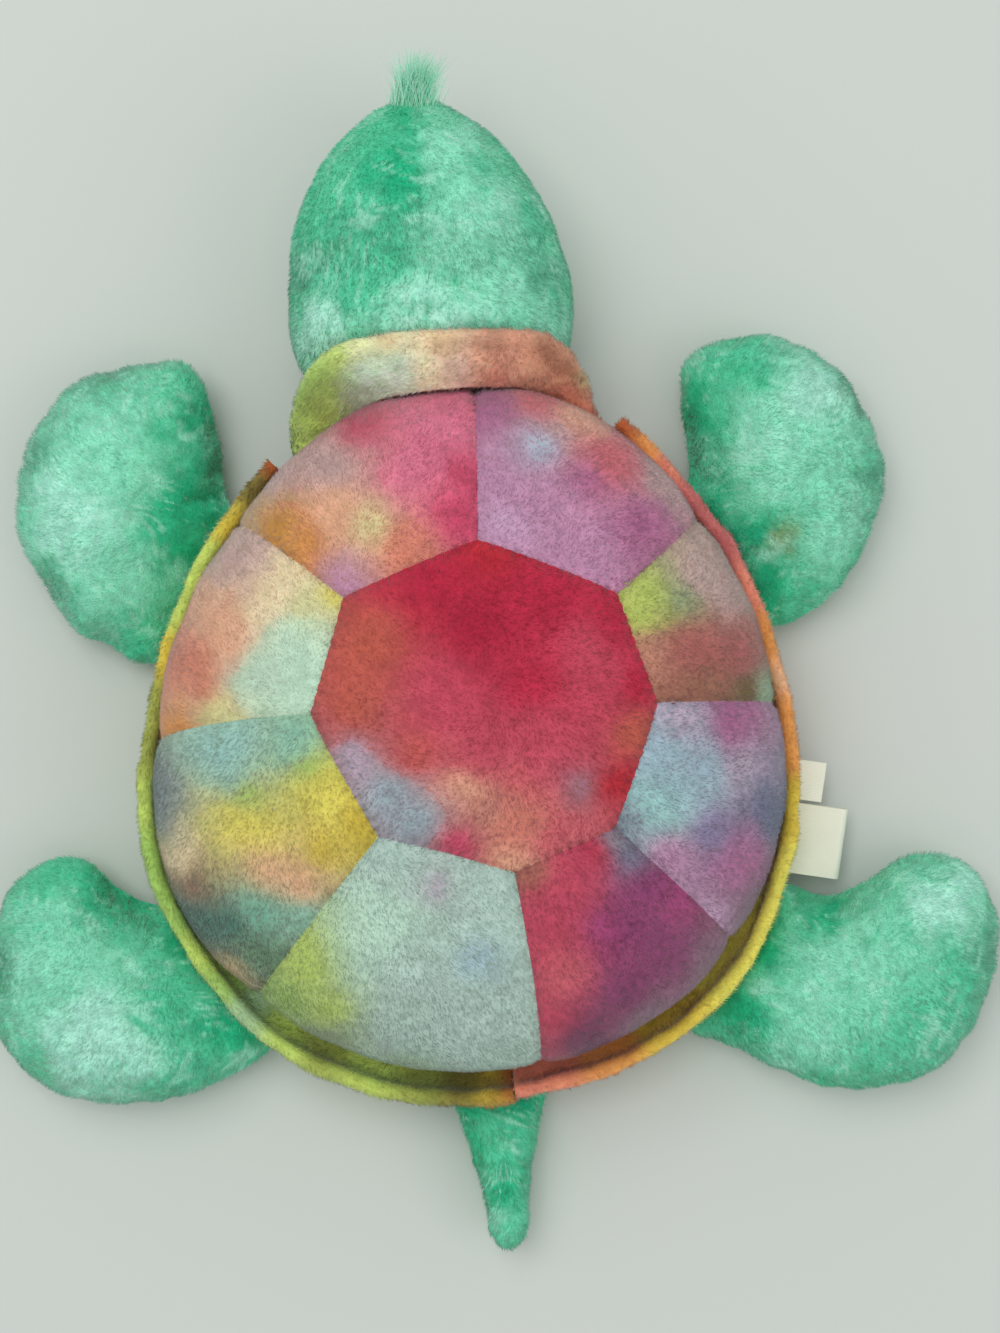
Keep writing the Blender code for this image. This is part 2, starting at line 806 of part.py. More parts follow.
def closed_curve(points, turn):
    """A smooth closed line through points, all of it in one turn."""
    count = len(points)
    place = turn * count
    number = int(place) % count
    share = place - int(place)
    before, start, end, after = (Vector(points[(number + step - 1) % count]) for step in range(4))
    pull = (end - before) / 2
    next_pull = (after - start) / 2
    square, cube = share**2, share**3
    return (
        start * (2 * cube - 3 * square + 1)
        + pull * (cube - 2 * square + share)
        + end * (3 * square - 2 * cube)
        + next_pull * (cube - square)
    )


def limb_place(shape, ahead, swing, layer=0, fill_depth=0.0):
    """Puts a point of a ball on a limb. Layer is 1 for the upper cloth and -1 for the lower."""
    swung = Matrix.Rotation(math.radians(swing), 2)
    outline_shares, middle_share, reach, span, swell, taper_length = shape
    middle = Vector((middle_share[0] * reach, middle_share[1] * span))

    def place(longitude, latitude, depth=fill_depth):
        share = closed_curve(outline_shares, longitude / TURN)
        spoke = Vector((share.x * reach, share.y * span)) - middle
        spoke *= (spoke.length - depth) / spoke.length
        lift = math.radians(abs(latitude))
        flat = swung @ (middle + spoke * math.cos(lift) ** 0.9)
        bulge = math.sin(lift) ** 0.85
        seam = LIMB_RISE_SHARE * max(flat.x, 0.0) - LIMB_ROOT_DROP
        taper = blend(LIMB_ROOT_SHARE, 1.0, eased(flat.x / taper_length))
        if latitude < 0:
            fullness = (GIRTH_HEIGHT + seam - FLOOR_GAP) * taper
            height = seam - (fullness * bulge - depth * math.sqrt(bulge))
        else:
            height = seam + (swell * taper * bulge - depth * math.sqrt(bulge))
        return Vector((flat.x, ahead * flat.y, height + layer * FIT_GAP / 2))

    return place


def root_cutter(name, hinge):
    """A block behind the hinge line, which leaves the limb open at its seam."""
    mesh = bmesh.new()
    bmesh.ops.create_cube(mesh, size=1)
    bmesh.ops.scale(mesh, vec=(OVERRUN, HIND_SPAN * 2, OVERRUN * 2), verts=mesh.verts)
    bmesh.ops.translate(mesh, vec=(-OVERRUN / 2, 0.0, 0.0), verts=mesh.verts)
    return hide_as_cutter(add_piece(name, mesh, None, hinge, guides))


def add_limb(name, shape, angle, ahead, swing, around, rings):
    place = outline(angle, FIT_GAP - GIRTH_INSET)
    step = outline(angle + 1) - outline(angle - 1)
    heading = math.degrees(math.atan2(-step.x, step.y))
    hinge = hinge_empty(name + "_hinge", place + Vector((0.0, 0.0, GIRTH_HEIGHT)), heading)
    cutter = root_cutter(name + "_root", hinge)
    upper = unit_ball(around, rings, lambda longitude, latitude: latitude > -1)
    lower = unit_ball(around, rings, lambda longitude, latitude: latitude < 1)
    pieces = (
        cut_cloth(name + "_upper", upper, limb_place(shape, ahead, swing, 1), mint, hinge),
        cut_cloth(name + "_lower", lower, limb_place(shape, ahead, swing, -1), mint, hinge),
        solid_form(
            name + "_stuffing",
            unit_ball(around, rings),
            limb_place(shape, ahead, swing, 0, CLOTH + FIBRE_GAP),
            fibre,
            hinge,
        ),
    )
    for piece in pieces:
        cut(piece, cutter)


front_shape = (
    FRONT_OUTLINE_SHARES,
    FRONT_MIDDLE_SHARE,
    FRONT_REACH,
    FRONT_SPAN,
    FRONT_SWELL,
    FLIPPER_TAPER,
)
hind_shape = (
    HIND_OUTLINE_SHARES,
    HIND_MIDDLE_SHARE,
    HIND_REACH,
    HIND_SPAN,
    HIND_SWELL,
    FLIPPER_TAPER,
)
tail_shape = (
    TAIL_OUTLINE_SHARES,
    TAIL_MIDDLE_SHARE,
    TAIL_REACH,
    TAIL_HALF_WIDTH,
    TAIL_SWELL,
    TAIL_TAPER,
)
add_limb("front_left_flipper", front_shape, FRONT_LEFT_ANGLE, -1, FRONT_LEFT_SWING, 24, 8)
add_limb("front_right_flipper", front_shape, FRONT_RIGHT_ANGLE, 1, 0.0, 24, 8)
add_limb("hind_left_flipper", hind_shape, HIND_LEFT_ANGLE, -1, 0.0, 24, 8)
add_limb("hind_right_flipper", hind_shape, HIND_RIGHT_ANGLE, 1, HIND_RIGHT_SWING, 24, 8)
add_limb("tail", tail_shape, TAIL_ANGLE, 1, 0.0, 24, 6)


# The care tag: a ribbon folded over into a loop, and a short leaf of ribbon ahead of it


def loop_place(along, across):
    """A point of the loop: out along its lower ply, round the fold and back along the upper."""
    straight = LOOP_REACH - LOOP_ROLL
    bend = math.pi * LOOP_ROLL
    walked = along * (2 * straight + bend)
    low = -TAG_ROOT_DROP - RIBBON - 2 * LOOP_ROLL
    if walked <= straight:
        out, up = walked, low
    elif walked <= straight + bend:
        turn = (walked - straight) / LOOP_ROLL
        out, up = straight + LOOP_ROLL * math.sin(turn), low + LOOP_ROLL * (1 - math.cos(turn))
    else:
        out, up = 2 * straight + bend - walked, low + 2 * LOOP_ROLL
    return Vector((out, LOOP_WIDTH * (across - 0.5) - LOOP_BACK_SHIFT, up))


def leaf_place(along, across):
    rear_edge = LOOP_WIDTH / 2 - LOOP_BACK_SHIFT + TAG_SPACING
    droop = LEAF_DROOP * along**2
    return Vector((LEAF_REACH * along, rear_edge + LEAF_WIDTH * across, -TAG_ROOT_DROP - droop))


tag_place = outline(TAG_ANGLE, FIT_GAP - GIRTH_INSET)
tag_step = outline(TAG_ANGLE + 1) - outline(TAG_ANGLE - 1)
tag_heading = math.degrees(math.atan2(-tag_step.x, tag_step.y))
tag_hinge = hinge_empty("care_tag_hinge", tag_place + Vector((0.0, 0.0, GIRTH_HEIGHT)), tag_heading)
satin = finish("white_satin", (0.80, 0.80, 0.76), 0.35, 0.1)
folded_strip("care_tag_loop", unit_grid(24, 2), loop_place, RIBBON, 0.0, satin, tag_hinge)
folded_strip("care_tag_leaf", unit_grid(6, 2), leaf_place, RIBBON, 0.0, satin, tag_hinge)
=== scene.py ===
"""A plush turtle with a tie-dyed patchwork shell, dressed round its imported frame."""

import itertools
import math

import bpy
import numpy as np
from mathutils.kdtree import KDTree
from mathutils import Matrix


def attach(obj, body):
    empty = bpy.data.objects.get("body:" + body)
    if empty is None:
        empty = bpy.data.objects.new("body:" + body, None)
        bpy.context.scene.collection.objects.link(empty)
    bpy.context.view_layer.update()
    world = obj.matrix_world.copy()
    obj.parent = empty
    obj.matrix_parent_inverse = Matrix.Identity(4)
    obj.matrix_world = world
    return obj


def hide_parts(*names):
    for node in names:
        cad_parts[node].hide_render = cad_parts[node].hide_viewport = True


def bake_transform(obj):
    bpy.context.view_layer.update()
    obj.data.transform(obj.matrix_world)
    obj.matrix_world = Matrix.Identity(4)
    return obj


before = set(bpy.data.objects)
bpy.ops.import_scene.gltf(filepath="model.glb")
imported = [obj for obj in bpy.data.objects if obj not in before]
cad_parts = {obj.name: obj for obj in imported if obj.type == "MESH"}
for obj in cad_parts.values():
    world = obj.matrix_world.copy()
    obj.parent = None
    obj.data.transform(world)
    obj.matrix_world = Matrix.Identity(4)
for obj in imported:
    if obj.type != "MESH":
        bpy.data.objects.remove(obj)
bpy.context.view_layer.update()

# The studio: a plain pale floor, a soft lamp high over it and a camera that looks straight down.
# Lengths in this file are in millimetres, and become metres where a mesh is made. Only the floor's
# and the lamps' are in metres from the start.

MM = 0.001
CAMERA_HEIGHT = 500.0
CAMERA_RIGHT = 6.8
CAMERA_FORWARD = 17.0
FRAME_LENGTH = 308.6
SENSOR = 36.0
FLOOR_HALF = 3.0
FLOOR_COLOUR = (206, 212, 206)
SKY_STRENGTH = 0.62


def linear(colour):
    """A colour given in steps of 255, as it looks, turned into amounts of light."""
    share = np.asarray(colour, float) / 255
    return np.where(share <= 0.04045, share / 12.92, ((share + 0.055) / 1.055) ** 2.4)


camera_data = bpy.data.cameras.new("camera")
camera_data.sensor_width = SENSOR
camera_data.lens = SENSOR * CAMERA_HEIGHT / FRAME_LENGTH
camera_data.clip_end = 20
camera = bpy.data.objects.new("camera", camera_data)
camera.location = (CAMERA_RIGHT * MM, CAMERA_FORWARD * MM, CAMERA_HEIGHT * MM)
bpy.context.scene.collection.objects.link(camera)
bpy.context.scene.camera = camera
bpy.context.scene.view_settings.view_transform = "Standard"

floor_mesh = bpy.data.meshes.new("floor")
floor_mesh.from_pydata(
    [(x * FLOOR_HALF, y * FLOOR_HALF, 0.0) for x, y in ((-1, -1), (1, -1), (1, 1), (-1, 1))],
    [],
    [(0, 1, 2, 3)],
)
floor = bpy.data.objects.new("floor", floor_mesh)
bpy.context.scene.collection.objects.link(floor)
floor_paint = bpy.data.materials.new("pale_floor")
floor_paint.use_nodes = True
floor_shader = floor_paint.node_tree.nodes["Principled BSDF"]
floor_shader.inputs["Base Color"].default_value = (*linear(FLOOR_COLOUR), 1.0)
floor_shader.inputs["Roughness"].default_value = 0.9
floor_shader.inputs["Specular IOR Level"].default_value = 0.1
floor_mesh.materials.append(floor_paint)

sky = bpy.data.worlds.new("studio")
sky.use_nodes = True
sky_light = sky.node_tree.nodes["Background"].inputs
sky_light["Color"].default_value = (1.0, 1.0, 1.0, 1.0)
sky_light["Strength"].default_value = SKY_STRENGTH
bpy.context.scene.world = sky

for lamp_name, lamp_place, lamp_size, lamp_power in (
    ("overhead_lamp", (-0.35, 0.45, 1.25), 0.9, 7.3),
    ("side_lamp", (0.9, -0.3, 0.9), 0.7, 1.6),
):
    lamp_data = bpy.data.lights.new(lamp_name, "AREA")
    lamp_data.size = lamp_size
    lamp_data.energy = lamp_power
    lamp = bpy.data.objects.new(lamp_name, lamp_data)
    lamp.location = lamp_place
    lamp.rotation_euler = (-lamp.location).to_track_quat("-Z", "Y").to_euler()
    bpy.context.scene.collection.objects.link(lamp)

# The shell is a patchwork of nine cut panels of short tie-dyed plush, sewn edge to edge and stuffed,
# so that each one crowns between its seams. The middle one has eight corners, and from each of its
# edges a panel runs down to the rim.

SHELL_HALF_WIDTH = 67.5
SHELL_FRONT = 78.0
SHELL_REAR = 70.0
EGG_SHARE = 0.1
SHELL_HEIGHT = 62.0
SHELL_WAIST = 27.0
SHELL_TUCK = 2.5
SHELL_BASE = 12.6
SHELL_ROUNDNESS = 2.5
BASE_FALL = 1.85
APEX = np.array([2.5, 8.0])
CLOTH = 1.1
# The centre panel's corners: the angle of each round the shell's top, its share of the way out to
# the shell's outline, and the angle at which the seam from it meets the rim
SEAM_SHARES = (
    (8.0, 0.58, 5.0),
    (38.0, 0.60, 40.0),
    (88.0, 0.50, 90.0),
    (140.0, 0.55, 145.0),
    (175.0, 0.50, 185.0),
    (230.0, 0.42, 232.0),
    (285.0, 0.44, 278.0),
    (325.0, 0.50, 320.0),
)


def lerp(low, high, share):
    return low + (high - low) * share


def eased(share):
    share = np.clip(share, 0.0, 1.0)
    return share * share * (3 - 2 * share)


def bell(distance, width):
    return np.exp(-((distance / width) ** 2))


def outline(angle, out=0.0):
    """The body's plan outline, moved outwards: an egg, narrower towards the head."""
    turn = np.radians(angle)
    reach = np.where(np.sin(turn) > 0, SHELL_FRONT, SHELL_REAR) + out
    right = (SHELL_HALF_WIDTH + out) * np.cos(turn) * (1 - EGG_SHARE * np.sin(turn))
    return np.stack([right, reach * np.sin(turn)], -1)


def dome(angle, fall, depth=0.0):
    """Points of the dome. The fall is 0 at its top, 1 at its widest line and 2 at its base."""
    angle, fall = np.broadcast_arrays(np.asarray(angle, float), np.asarray(fall, float))
    quarter = np.radians(90 * np.clip(fall, 0, 1))
    share = np.sin(quarter) ** (2 / SHELL_ROUNDNESS)
    climb = np.maximum(np.cos(quarter), 0) ** (2 / SHELL_ROUNDNESS)
    low = np.radians(90 * np.clip(fall - 1, 0, 1))
    tuck = SHELL_TUCK * (1 - np.cos(low))
    flat = lerp(APEX, outline(angle, -depth - tuck), share[..., None])
    top = SHELL_WAIST + (SHELL_HEIGHT - depth - SHELL_WAIST) * climb
    side = SHELL_WAIST - (SHELL_WAIST - SHELL_BASE) * np.sin(low)
    return np.concatenate([flat, np.where(fall <= 1, top, side)[..., None]], -1)


def fall_at(share):
    return np.degrees(np.arcsin(np.asarray(share) ** (SHELL_ROUNDNESS / 2))) / 90


def panel_edge(number, share):
    """The centre panel's edge after this corner: its angle and its share of the way out."""
    here = SEAM_SHARES[number]
    after = SEAM_SHARES[(number + 1) % len(SEAM_SHARES)]
    span = (after[0] - here[0]) % 360
    straight = 1 - math.cos(math.radians(span / 2))
    out = lerp(here[1], after[1], share) * (1 - straight * 4 * share * (1 - share))
    return here[0] + span * share, out


def rim_angles(number):
    here = SEAM_SHARES[number][2]
    after = SEAM_SHARES[(number + 1) % len(SEAM_SHARES)][2]
    return here, after + (360 if after < here else 0)


def cloudy(points, size, seed):
    """Smooth random values from -1 to 1 that change over about the given size."""
    places = np.asarray(points, float) / size + 17.31 * seed
    corner = np.floor(places).astype(np.int64)
    part = places - corner
    part = part * part * (3 - 2 * part)
    total = np.zeros(len(places))
    for step in itertools.product((0, 1), repeat=3):
        at = corner + np.array(step)
        mixed = at[:, 0] * 73856093 ^ at[:, 1] * 19349663 ^ at[:, 2] * 83492791 ^ seed * 2654435761
        mixed = ((mixed ^ (mixed >> 13)) * 1274126177) & 0x7FFFFFFF
        value = ((mixed ^ (mixed >> 16)) & 0xFFFF) / 32767.5 - 1
        total += value * np.prod(np.where(np.array(step), part, 1 - part), axis=1)
    return total


def grid_quads(rows, columns, closed=False):
    """Faces of a grid whose points run along its columns, row after row."""
    row, column = np.meshgrid(
        np.arange(rows - 1), np.arange(columns if closed else columns - 1), indexing="ij"
    )
    after = (column + 1) % columns
    corners = (row * columns + column, row * columns + after)
    beyond = ((row + 1) * columns + after, (row + 1) * columns + column)
    return np.stack(corners + beyond, -1).reshape(-1, 4)


DYES = {
    "crimson": (182, 34, 64),
    "deep_crimson": (170, 28, 58),
    "scarlet": (186, 38, 48),
    "rose": (192, 72, 94),
    "rose_red": (192, 84, 78),
    "rust_red": (186, 92, 74),
    "rose_salmon": (202, 98, 108),
    "hot_pink": (198, 66, 104),
    "pink": (214, 114, 142),
    "magenta": (166, 70, 120),
    "purple": (134, 62, 106),
    "deep_purple": (104, 46, 86),
    "mauve": (172, 100, 142),
    "lilac": (186, 136, 168),
    "pale_lilac": (196, 160, 190),
    "grey_lilac": (178, 158, 176),
    "grey_mauve": (140, 112, 126),
    "violet": (134, 122, 160),
    "blue_grey": (146, 172, 180),
    "pale_blue": (156, 182, 194),
    "aqua": (146, 192, 186),
    "slate": (104, 116, 142),
    "grey_slate": (122, 134, 140),
    "teal": (104, 176, 152),
    "mint_teal": (132, 186, 166),
    "deep_teal": (60, 112, 104),
    "grey_mint": (172, 196, 186),
    "pale_mint": (184, 218, 196),
    "sage_mint": (148, 178, 146),
    "sage": (138, 158, 114),
    "deep_sage": (98, 138, 106),
    "leaf": (142, 178, 88),
    "lime": (176, 196, 96),
    "olive": (140, 148, 70),
    "dark_olive": (98, 88, 42),
    "yellow": (214, 204, 90),
    "gold": (200, 176, 62),
    "ochre": (192, 134, 44),
    "orange": (208, 140, 72),
    "tan": (196, 168, 122),
    "cream_lime": (206, 206, 146),
    "cream": (232, 212, 172),
    "peach": (222, 168, 136),
    "salmon": (206, 124, 104),
    "tan_rose": (182, 128, 108),
    "grey_pink": (190, 162, 158),
    "rose_brown": (174, 94, 94),
    "brown": (150, 104, 84),
    "rust": (150, 72, 36),
}
DYE_GAIN = 1.16
BLEED = 2.3
BLEED_SIZE = 13
FINE_BLEED = 0.805
FINE_BLEED_SIZE = 4


def cloudy_ways(points, size, seed, ways=3):
    """A smooth random value along each of some directions."""
    return np.stack([cloudy(points, size, seed + way) for way in range(ways)], -1)


def dyed(points, splashes, seed):
    """Tie-dye: each splash of dye soaks out from its place, and they run together at the edges."""
    soaked = points[:, :2] + BLEED * cloudy_ways(points, BLEED_SIZE, seed, 2)
    soaked = soaked + FINE_BLEED * cloudy_ways(points, FINE_BLEED_SIZE, seed + 5, 2)
    total = np.zeros((len(points), 3))
    weight_sum = np.zeros((len(points), 1))
    for dye, right, forward, radius in splashes:
        gone = np.hypot(soaked[:, 0] - right, soaked[:, 1] - forward) / radius
        weight = (1 / (gone**2 + 0.6) ** 1.7)[:, None]
        total += weight * linear(DYES[dye])
        weight_sum += weight
    return DYE_GAIN * total / weight_sum


# Dyes poured on the centre panel: dye, shares of the panel's reach to the right and forward of the
# shell's top, and the radius of the splash
CENTRE_REACH = 36.0
CENTRE_SPLASHES = (
    ("crimson", -0.3, 0.7, 8), ("scarlet", 0.1, 0.9, 5), ("deep_crimson", 0.0, 0.45, 8),
    ("crimson", 0.4, 0.65, 8), ("crimson", 0.75, 0.5, 6), ("rose", 0.6, 0.3, 7),
    ("crimson", 0.3, 0.15, 6), ("rose", -0.2, 0.05, 8), ("rust_red", -0.6, 0.35, 6),
    ("rust_red", -0.7, 0.05, 5), ("rose", 0.4, -0.2, 8), ("rose", 0.0, -0.25, 7),
    ("rose_red", -0.35, -0.2, 5), ("rose_brown", -0.9, -0.1, 4), ("grey_lilac", -0.7, -0.3, 3),
    ("blue_grey", -0.5, -0.45, 5), ("blue_grey", -0.35, -0.65, 5), ("peach", -0.1, -0.45, 4),
    ("tan_rose", 0.0, -0.6, 4), ("hot_pink", -0.1, -0.8, 4), ("salmon", 0.2, -0.6, 5),
    ("peach", 0.25, -0.85, 4), ("rose_salmon", 0.45, -0.7, 5), ("grey_mauve", 0.55, -0.4, 4),
    ("scarlet", 0.8, -0.4, 4), ("rust_red", 0.9, -0.1, 4), ("crimson", 0.9, 0.2, 4),
)
# Dyes poured on each side panel: dye, shares of the way across it from its first seam and of the
# way down it from the centre panel to the shell's widest line, and the radius of the splash
SIDE_SPLASHES = {
    "shell_panel_right": (
        ("lime", 0.8, 0.25, 4), ("lime", 0.7, 0.1, 3), ("sage", 0.7, 0.45, 4),
        ("grey_pink", 0.75, 0.75, 4), ("grey_pink", 0.6, 0.9, 4), ("rose_brown", 0.4, 0.4, 6),
        ("rose_brown", 0.35, 0.75, 5), ("tan_rose", 0.35, 0.05, 4), ("brown", 0.1, 0.3, 5),
        ("dark_olive", 0.1, 0.7, 3), ("sage_mint", 0.1, 0.95, 4),
    ),
    "shell_panel_front_right": (
        ("mauve", 0.9, 0.85, 5), ("rose_salmon", 0.7, 0.95, 4), ("pale_blue", 0.68, 0.65, 4),
        ("peach", 0.55, 0.95, 5), ("rose_salmon", 0.38, 0.8, 6), ("lilac", 0.85, 0.4, 6),
        ("lilac", 0.6, 0.35, 7), ("pale_lilac", 0.75, 0.15, 4), ("lilac", 0.3, 0.15, 6),
        ("mauve", 0.15, 0.5, 5), ("mauve", 0.45, 0.6, 4), ("grey_pink", 0.15, 0.95, 5),
    ),
    "shell_panel_front_left": (
        ("pink", 0.15, 0.8, 8), ("hot_pink", 0.05, 0.4, 4), ("hot_pink", 0.1, 0.15, 5),
        ("pink", 0.3, 0.5, 7), ("rose", 0.4, 0.95, 5), ("grey_pink", 0.6, 0.75, 6),
        ("peach", 0.7, 0.5, 6), ("cream_lime", 0.6, 0.3, 4), ("ochre", 0.9, 0.7, 5),
        ("orange", 0.9, 0.45, 4), ("lilac", 0.9, 0.1, 4), ("salmon", 0.5, 0.1, 5),
        ("tan", 0.9, 0.95, 4), ("grey_pink", 0.75, 0.95, 4),
    ),
    "shell_panel_left": (
        ("grey_pink", 0.05, 0.85, 6), ("cream", 0.1, 0.4, 6), ("yellow", 0.05, 0.05, 3),
        ("cream", 0.25, 0.5, 5), ("cream_lime", 0.25, 0.2, 4), ("peach", 0.3, 0.75, 6),
        ("salmon", 0.55, 0.85, 6), ("peach", 0.45, 0.65, 4), ("pale_mint", 0.45, 0.25, 6),
        ("pale_mint", 0.7, 0.1, 6), ("pale_mint", 0.65, 0.4, 5), ("cream_lime", 0.85, 0.55, 5),
        ("orange", 0.9, 0.85, 5), ("salmon", 0.7, 0.7, 4),
    ),
    "shell_panel_rear_left": (
        ("mint_teal", 0.15, 0.15, 5), ("aqua", 0.1, 0.5, 6), ("grey_slate", 0.1, 0.95, 5),
        ("leaf", 0.32, 0.1, 3), ("leaf", 0.3, 0.45, 3), ("yellow", 0.5, 0.1, 6),
        ("yellow", 0.45, 0.5, 7), ("gold", 0.8, 0.05, 4), ("gold", 0.75, 0.25, 3),
        ("cream", 0.35, 0.85, 3), ("brown", 0.5, 0.85, 4), ("peach", 0.65, 0.5, 5),
        ("peach", 0.8, 0.4, 4), ("deep_teal", 0.62, 0.9, 6), ("teal", 0.78, 0.62, 5),
        ("mint_teal", 0.92, 0.5, 4), ("deep_teal", 0.72, 0.78, 4), ("deep_sage", 0.9, 0.8, 6),
        ("tan", 0.85, 0.98, 4),
    ),
    "shell_panel_tail_left": (
        ("grey_mint", 0.15, 0.1, 6), ("grey_lilac", 0.45, 0.15, 3), ("grey_mint", 0.8, 0.1, 6),
        ("pale_mint", 0.3, 0.4, 7), ("grey_mint", 0.5, 0.5, 8), ("pale_blue", 0.8, 0.45, 3),
        ("lime", 0.05, 0.65, 6), ("leaf", 0.05, 0.9, 5), ("lime", 0.25, 0.8, 4),
        ("grey_mint", 0.5, 0.8, 6), ("grey_mint", 0.75, 0.75, 7), ("sage", 0.3, 0.97, 5),
        ("sage_mint", 0.6, 0.97, 5),
    ),
    "shell_panel_tail_right": (
        ("brown", 0.1, 0.03, 4), ("rose", 0.4, 0.15, 7), ("crimson", 0.7, 0.05, 4),
        ("rose", 0.15, 0.35, 7), ("rose_salmon", 0.2, 0.55, 5), ("rose", 0.1, 0.75, 6),
        ("grey_slate", 0.92, 0.05, 4), ("slate", 0.9, 0.15, 4), ("purple", 0.85, 0.35, 6),
        ("magenta", 0.95, 0.55, 5), ("purple", 0.65, 0.5, 5), ("purple", 0.75, 0.7, 6),
        ("magenta", 0.5, 0.45, 4), ("purple", 0.5, 0.75, 5), ("deep_purple", 0.3, 0.92, 5),
        ("grey_mauve", 0.9, 0.9, 5), ("grey_mauve", 0.6, 0.97, 4),
    ),
    "shell_panel_rear_right": (
        ("grey_lilac", 0.9, 0.15, 4), ("mauve", 0.95, 0.6, 5), ("pale_blue", 0.65, 0.1, 5),
        ("pale_blue", 0.65, 0.4, 6), ("grey_lilac", 0.75, 0.65, 4), ("slate", 0.6, 0.9, 5),
        ("aqua", 0.35, 0.2, 6), ("violet", 0.4, 0.55, 4), ("mauve", 0.35, 0.75, 6),
        ("lilac", 0.15, 0.4, 4), ("pale_lilac", 0.05, 0.75, 4), ("grey_mauve", 0.2, 0.92, 5),
        ("grey_slate", 0.08, 0.08, 3),
    ),
}


def side_splashes(number, rows):
    """A side panel's splashes, brought from their shares of the panel to places on the dome."""
    placed = []
    for dye, across, down, radius in rows:
        edge_angle, edge_share = panel_edge(number, across)
        angle = lerp(edge_angle, lerp(*rim_angles(number), across), down)
        placed.append((dye, *lerp(APEX, outline(angle), lerp(edge_share, 1.0, down)), radius))
    return placed


# The seams: the eight edges of the centre panel, and eight from its corners down to the rim
SEAM_STEPS = 90
SEAM_APART = 200.0
seam_line = []
seam_walk = []
for seam_number in range(len(SEAM_SHARES)):
    along = np.linspace(0, 1, SEAM_STEPS)
    edge_angle, edge_share = panel_edge(seam_number, along)
    corner_angle, corner_share, foot_angle = SEAM_SHARES[seam_number]
    for line in (
        dome(edge_angle, fall_at(edge_share)),
        dome(lerp(corner_angle, foot_angle, along), lerp(fall_at(corner_share), BASE_FALL, along)),
    ):
        steps = np.linalg.norm(np.diff(line, axis=0), axis=1)
        seam_line.append(line)
        seam_walk.append(np.concatenate([[0.0], np.cumsum(steps)]) + SEAM_APART * len(seam_walk))
seam_points = np.concatenate(seam_line)
seam_along = np.concatenate(seam_walk)
seam_tree = KDTree(len(seam_points))
for number, place in enumerate(seam_points):
    seam_tree.insert(place, number)
seam_tree.balance()


def near_seam(points):
    """How far each point is from its nearest seam, and how far along that seam it lies."""
    found = [seam_tree.find(place)[1:] for place in points]
    return np.array([f[1] for f in found]), seam_along[[f[0] for f in found]]


def surface_normals(points, quads):
    """The outward direction at each point of a surface."""
    corners = points[quads]
    across = np.cross(corners[:, 2] - corners[:, 0], corners[:, 3] - corners[:, 1])
    total = np.zeros_like(points)
    for corner in range(4):
        np.add.at(total, quads[:, corner], across)
    return total / np.maximum(np.linalg.norm(total, axis=1, keepdims=True), 1e-12)


STITCH_PITCH = 2.5
PANEL_CROWN = 0.7
CROWN_WIDTH = 9
SEAM_DEPTH = 0.6
SEAM_WIDTH = 1.2
STITCH_DEPTH = 0.7
STITCH_WIDTH = 1.6
PUCKER_HEIGHT = 0.55
PUCKER_SIZE = 3.4
PUCKER_REACH = 5
PUCKER_STRETCH = 0.35
LUMP_HEIGHT = 0.9
LUMP_SIZE = 24
FINE_LUMP_HEIGHT = 0.32
FINE_LUMP_SIZE = 8


def sewn_relief(points):
    """How far the dome's cloth stands out: crowned panels, drawn-in seams, puckers and dents."""
    gone, walked = near_seam(points)
    pitch = np.cos(2 * math.pi * walked / STITCH_PITCH)
    folds = cloudy(np.stack([walked, gone * PUCKER_STRETCH, walked * 0], -1), PUCKER_SIZE, 3)
    height = PANEL_CROWN * (1 - bell(gone, CROWN_WIDTH)) - SEAM_DEPTH * bell(gone, SEAM_WIDTH)
    height -= STITCH_DEPTH * bell(gone, STITCH_WIDTH) * (0.5 + 0.5 * pitch)
    height += PUCKER_HEIGHT * folds * np.exp(-gone / PUCKER_REACH) * (1 - bell(gone, 0.8))
    height += LUMP_HEIGHT * cloudy(points, LUMP_SIZE, 4)
    return height + FINE_LUMP_HEIGHT * cloudy(points, FINE_LUMP_SIZE, 5)


PANEL_COLUMNS = 64
PANEL_ROWS = 72
CENTRE_RINGS = 46
CENTRE_HOLE = 0.01
EDGE_CROWDING = 0.07


def crowded(across):
    """Moves even steps across a panel nearer to its two seams, where the cloth bends most."""
    return across - EDGE_CROWDING * np.sin(2 * math.pi * across)


def side_panel_grid(number):
    across, down = np.meshgrid(np.linspace(0, 1, PANEL_COLUMNS), np.linspace(0, 1, PANEL_ROWS))
    across = crowded(across)
    edge_angle, edge_share = panel_edge(number, across)
    low, high = rim_angles(number)
    angle = lerp(edge_angle, lerp(low, high, across), down)
    points = dome(angle, lerp(fall_at(edge_share), BASE_FALL, down)).reshape(-1, 3)
    return points, grid_quads(PANEL_ROWS, PANEL_COLUMNS)[:, ::-1]


def centre_panel_grid():
    columns = PANEL_COLUMNS - 1
    across = crowded(np.linspace(0, 1, columns, endpoint=False))
    edges = [panel_edge(number, across) for number in range(len(SEAM_SHARES))]
    angle = np.concatenate([edge[0] for edge in edges])
    share = np.concatenate([edge[1] for edge in edges])
    ring = np.linspace(CENTRE_HOLE, 1, CENTRE_RINGS)[:, None]
    points = dome(np.broadcast_to(angle, (CENTRE_RINGS, len(angle))), fall_at(ring * share))
    return points.reshape(-1, 3), grid_quads(CENTRE_RINGS, len(angle), True)[:, ::-1]


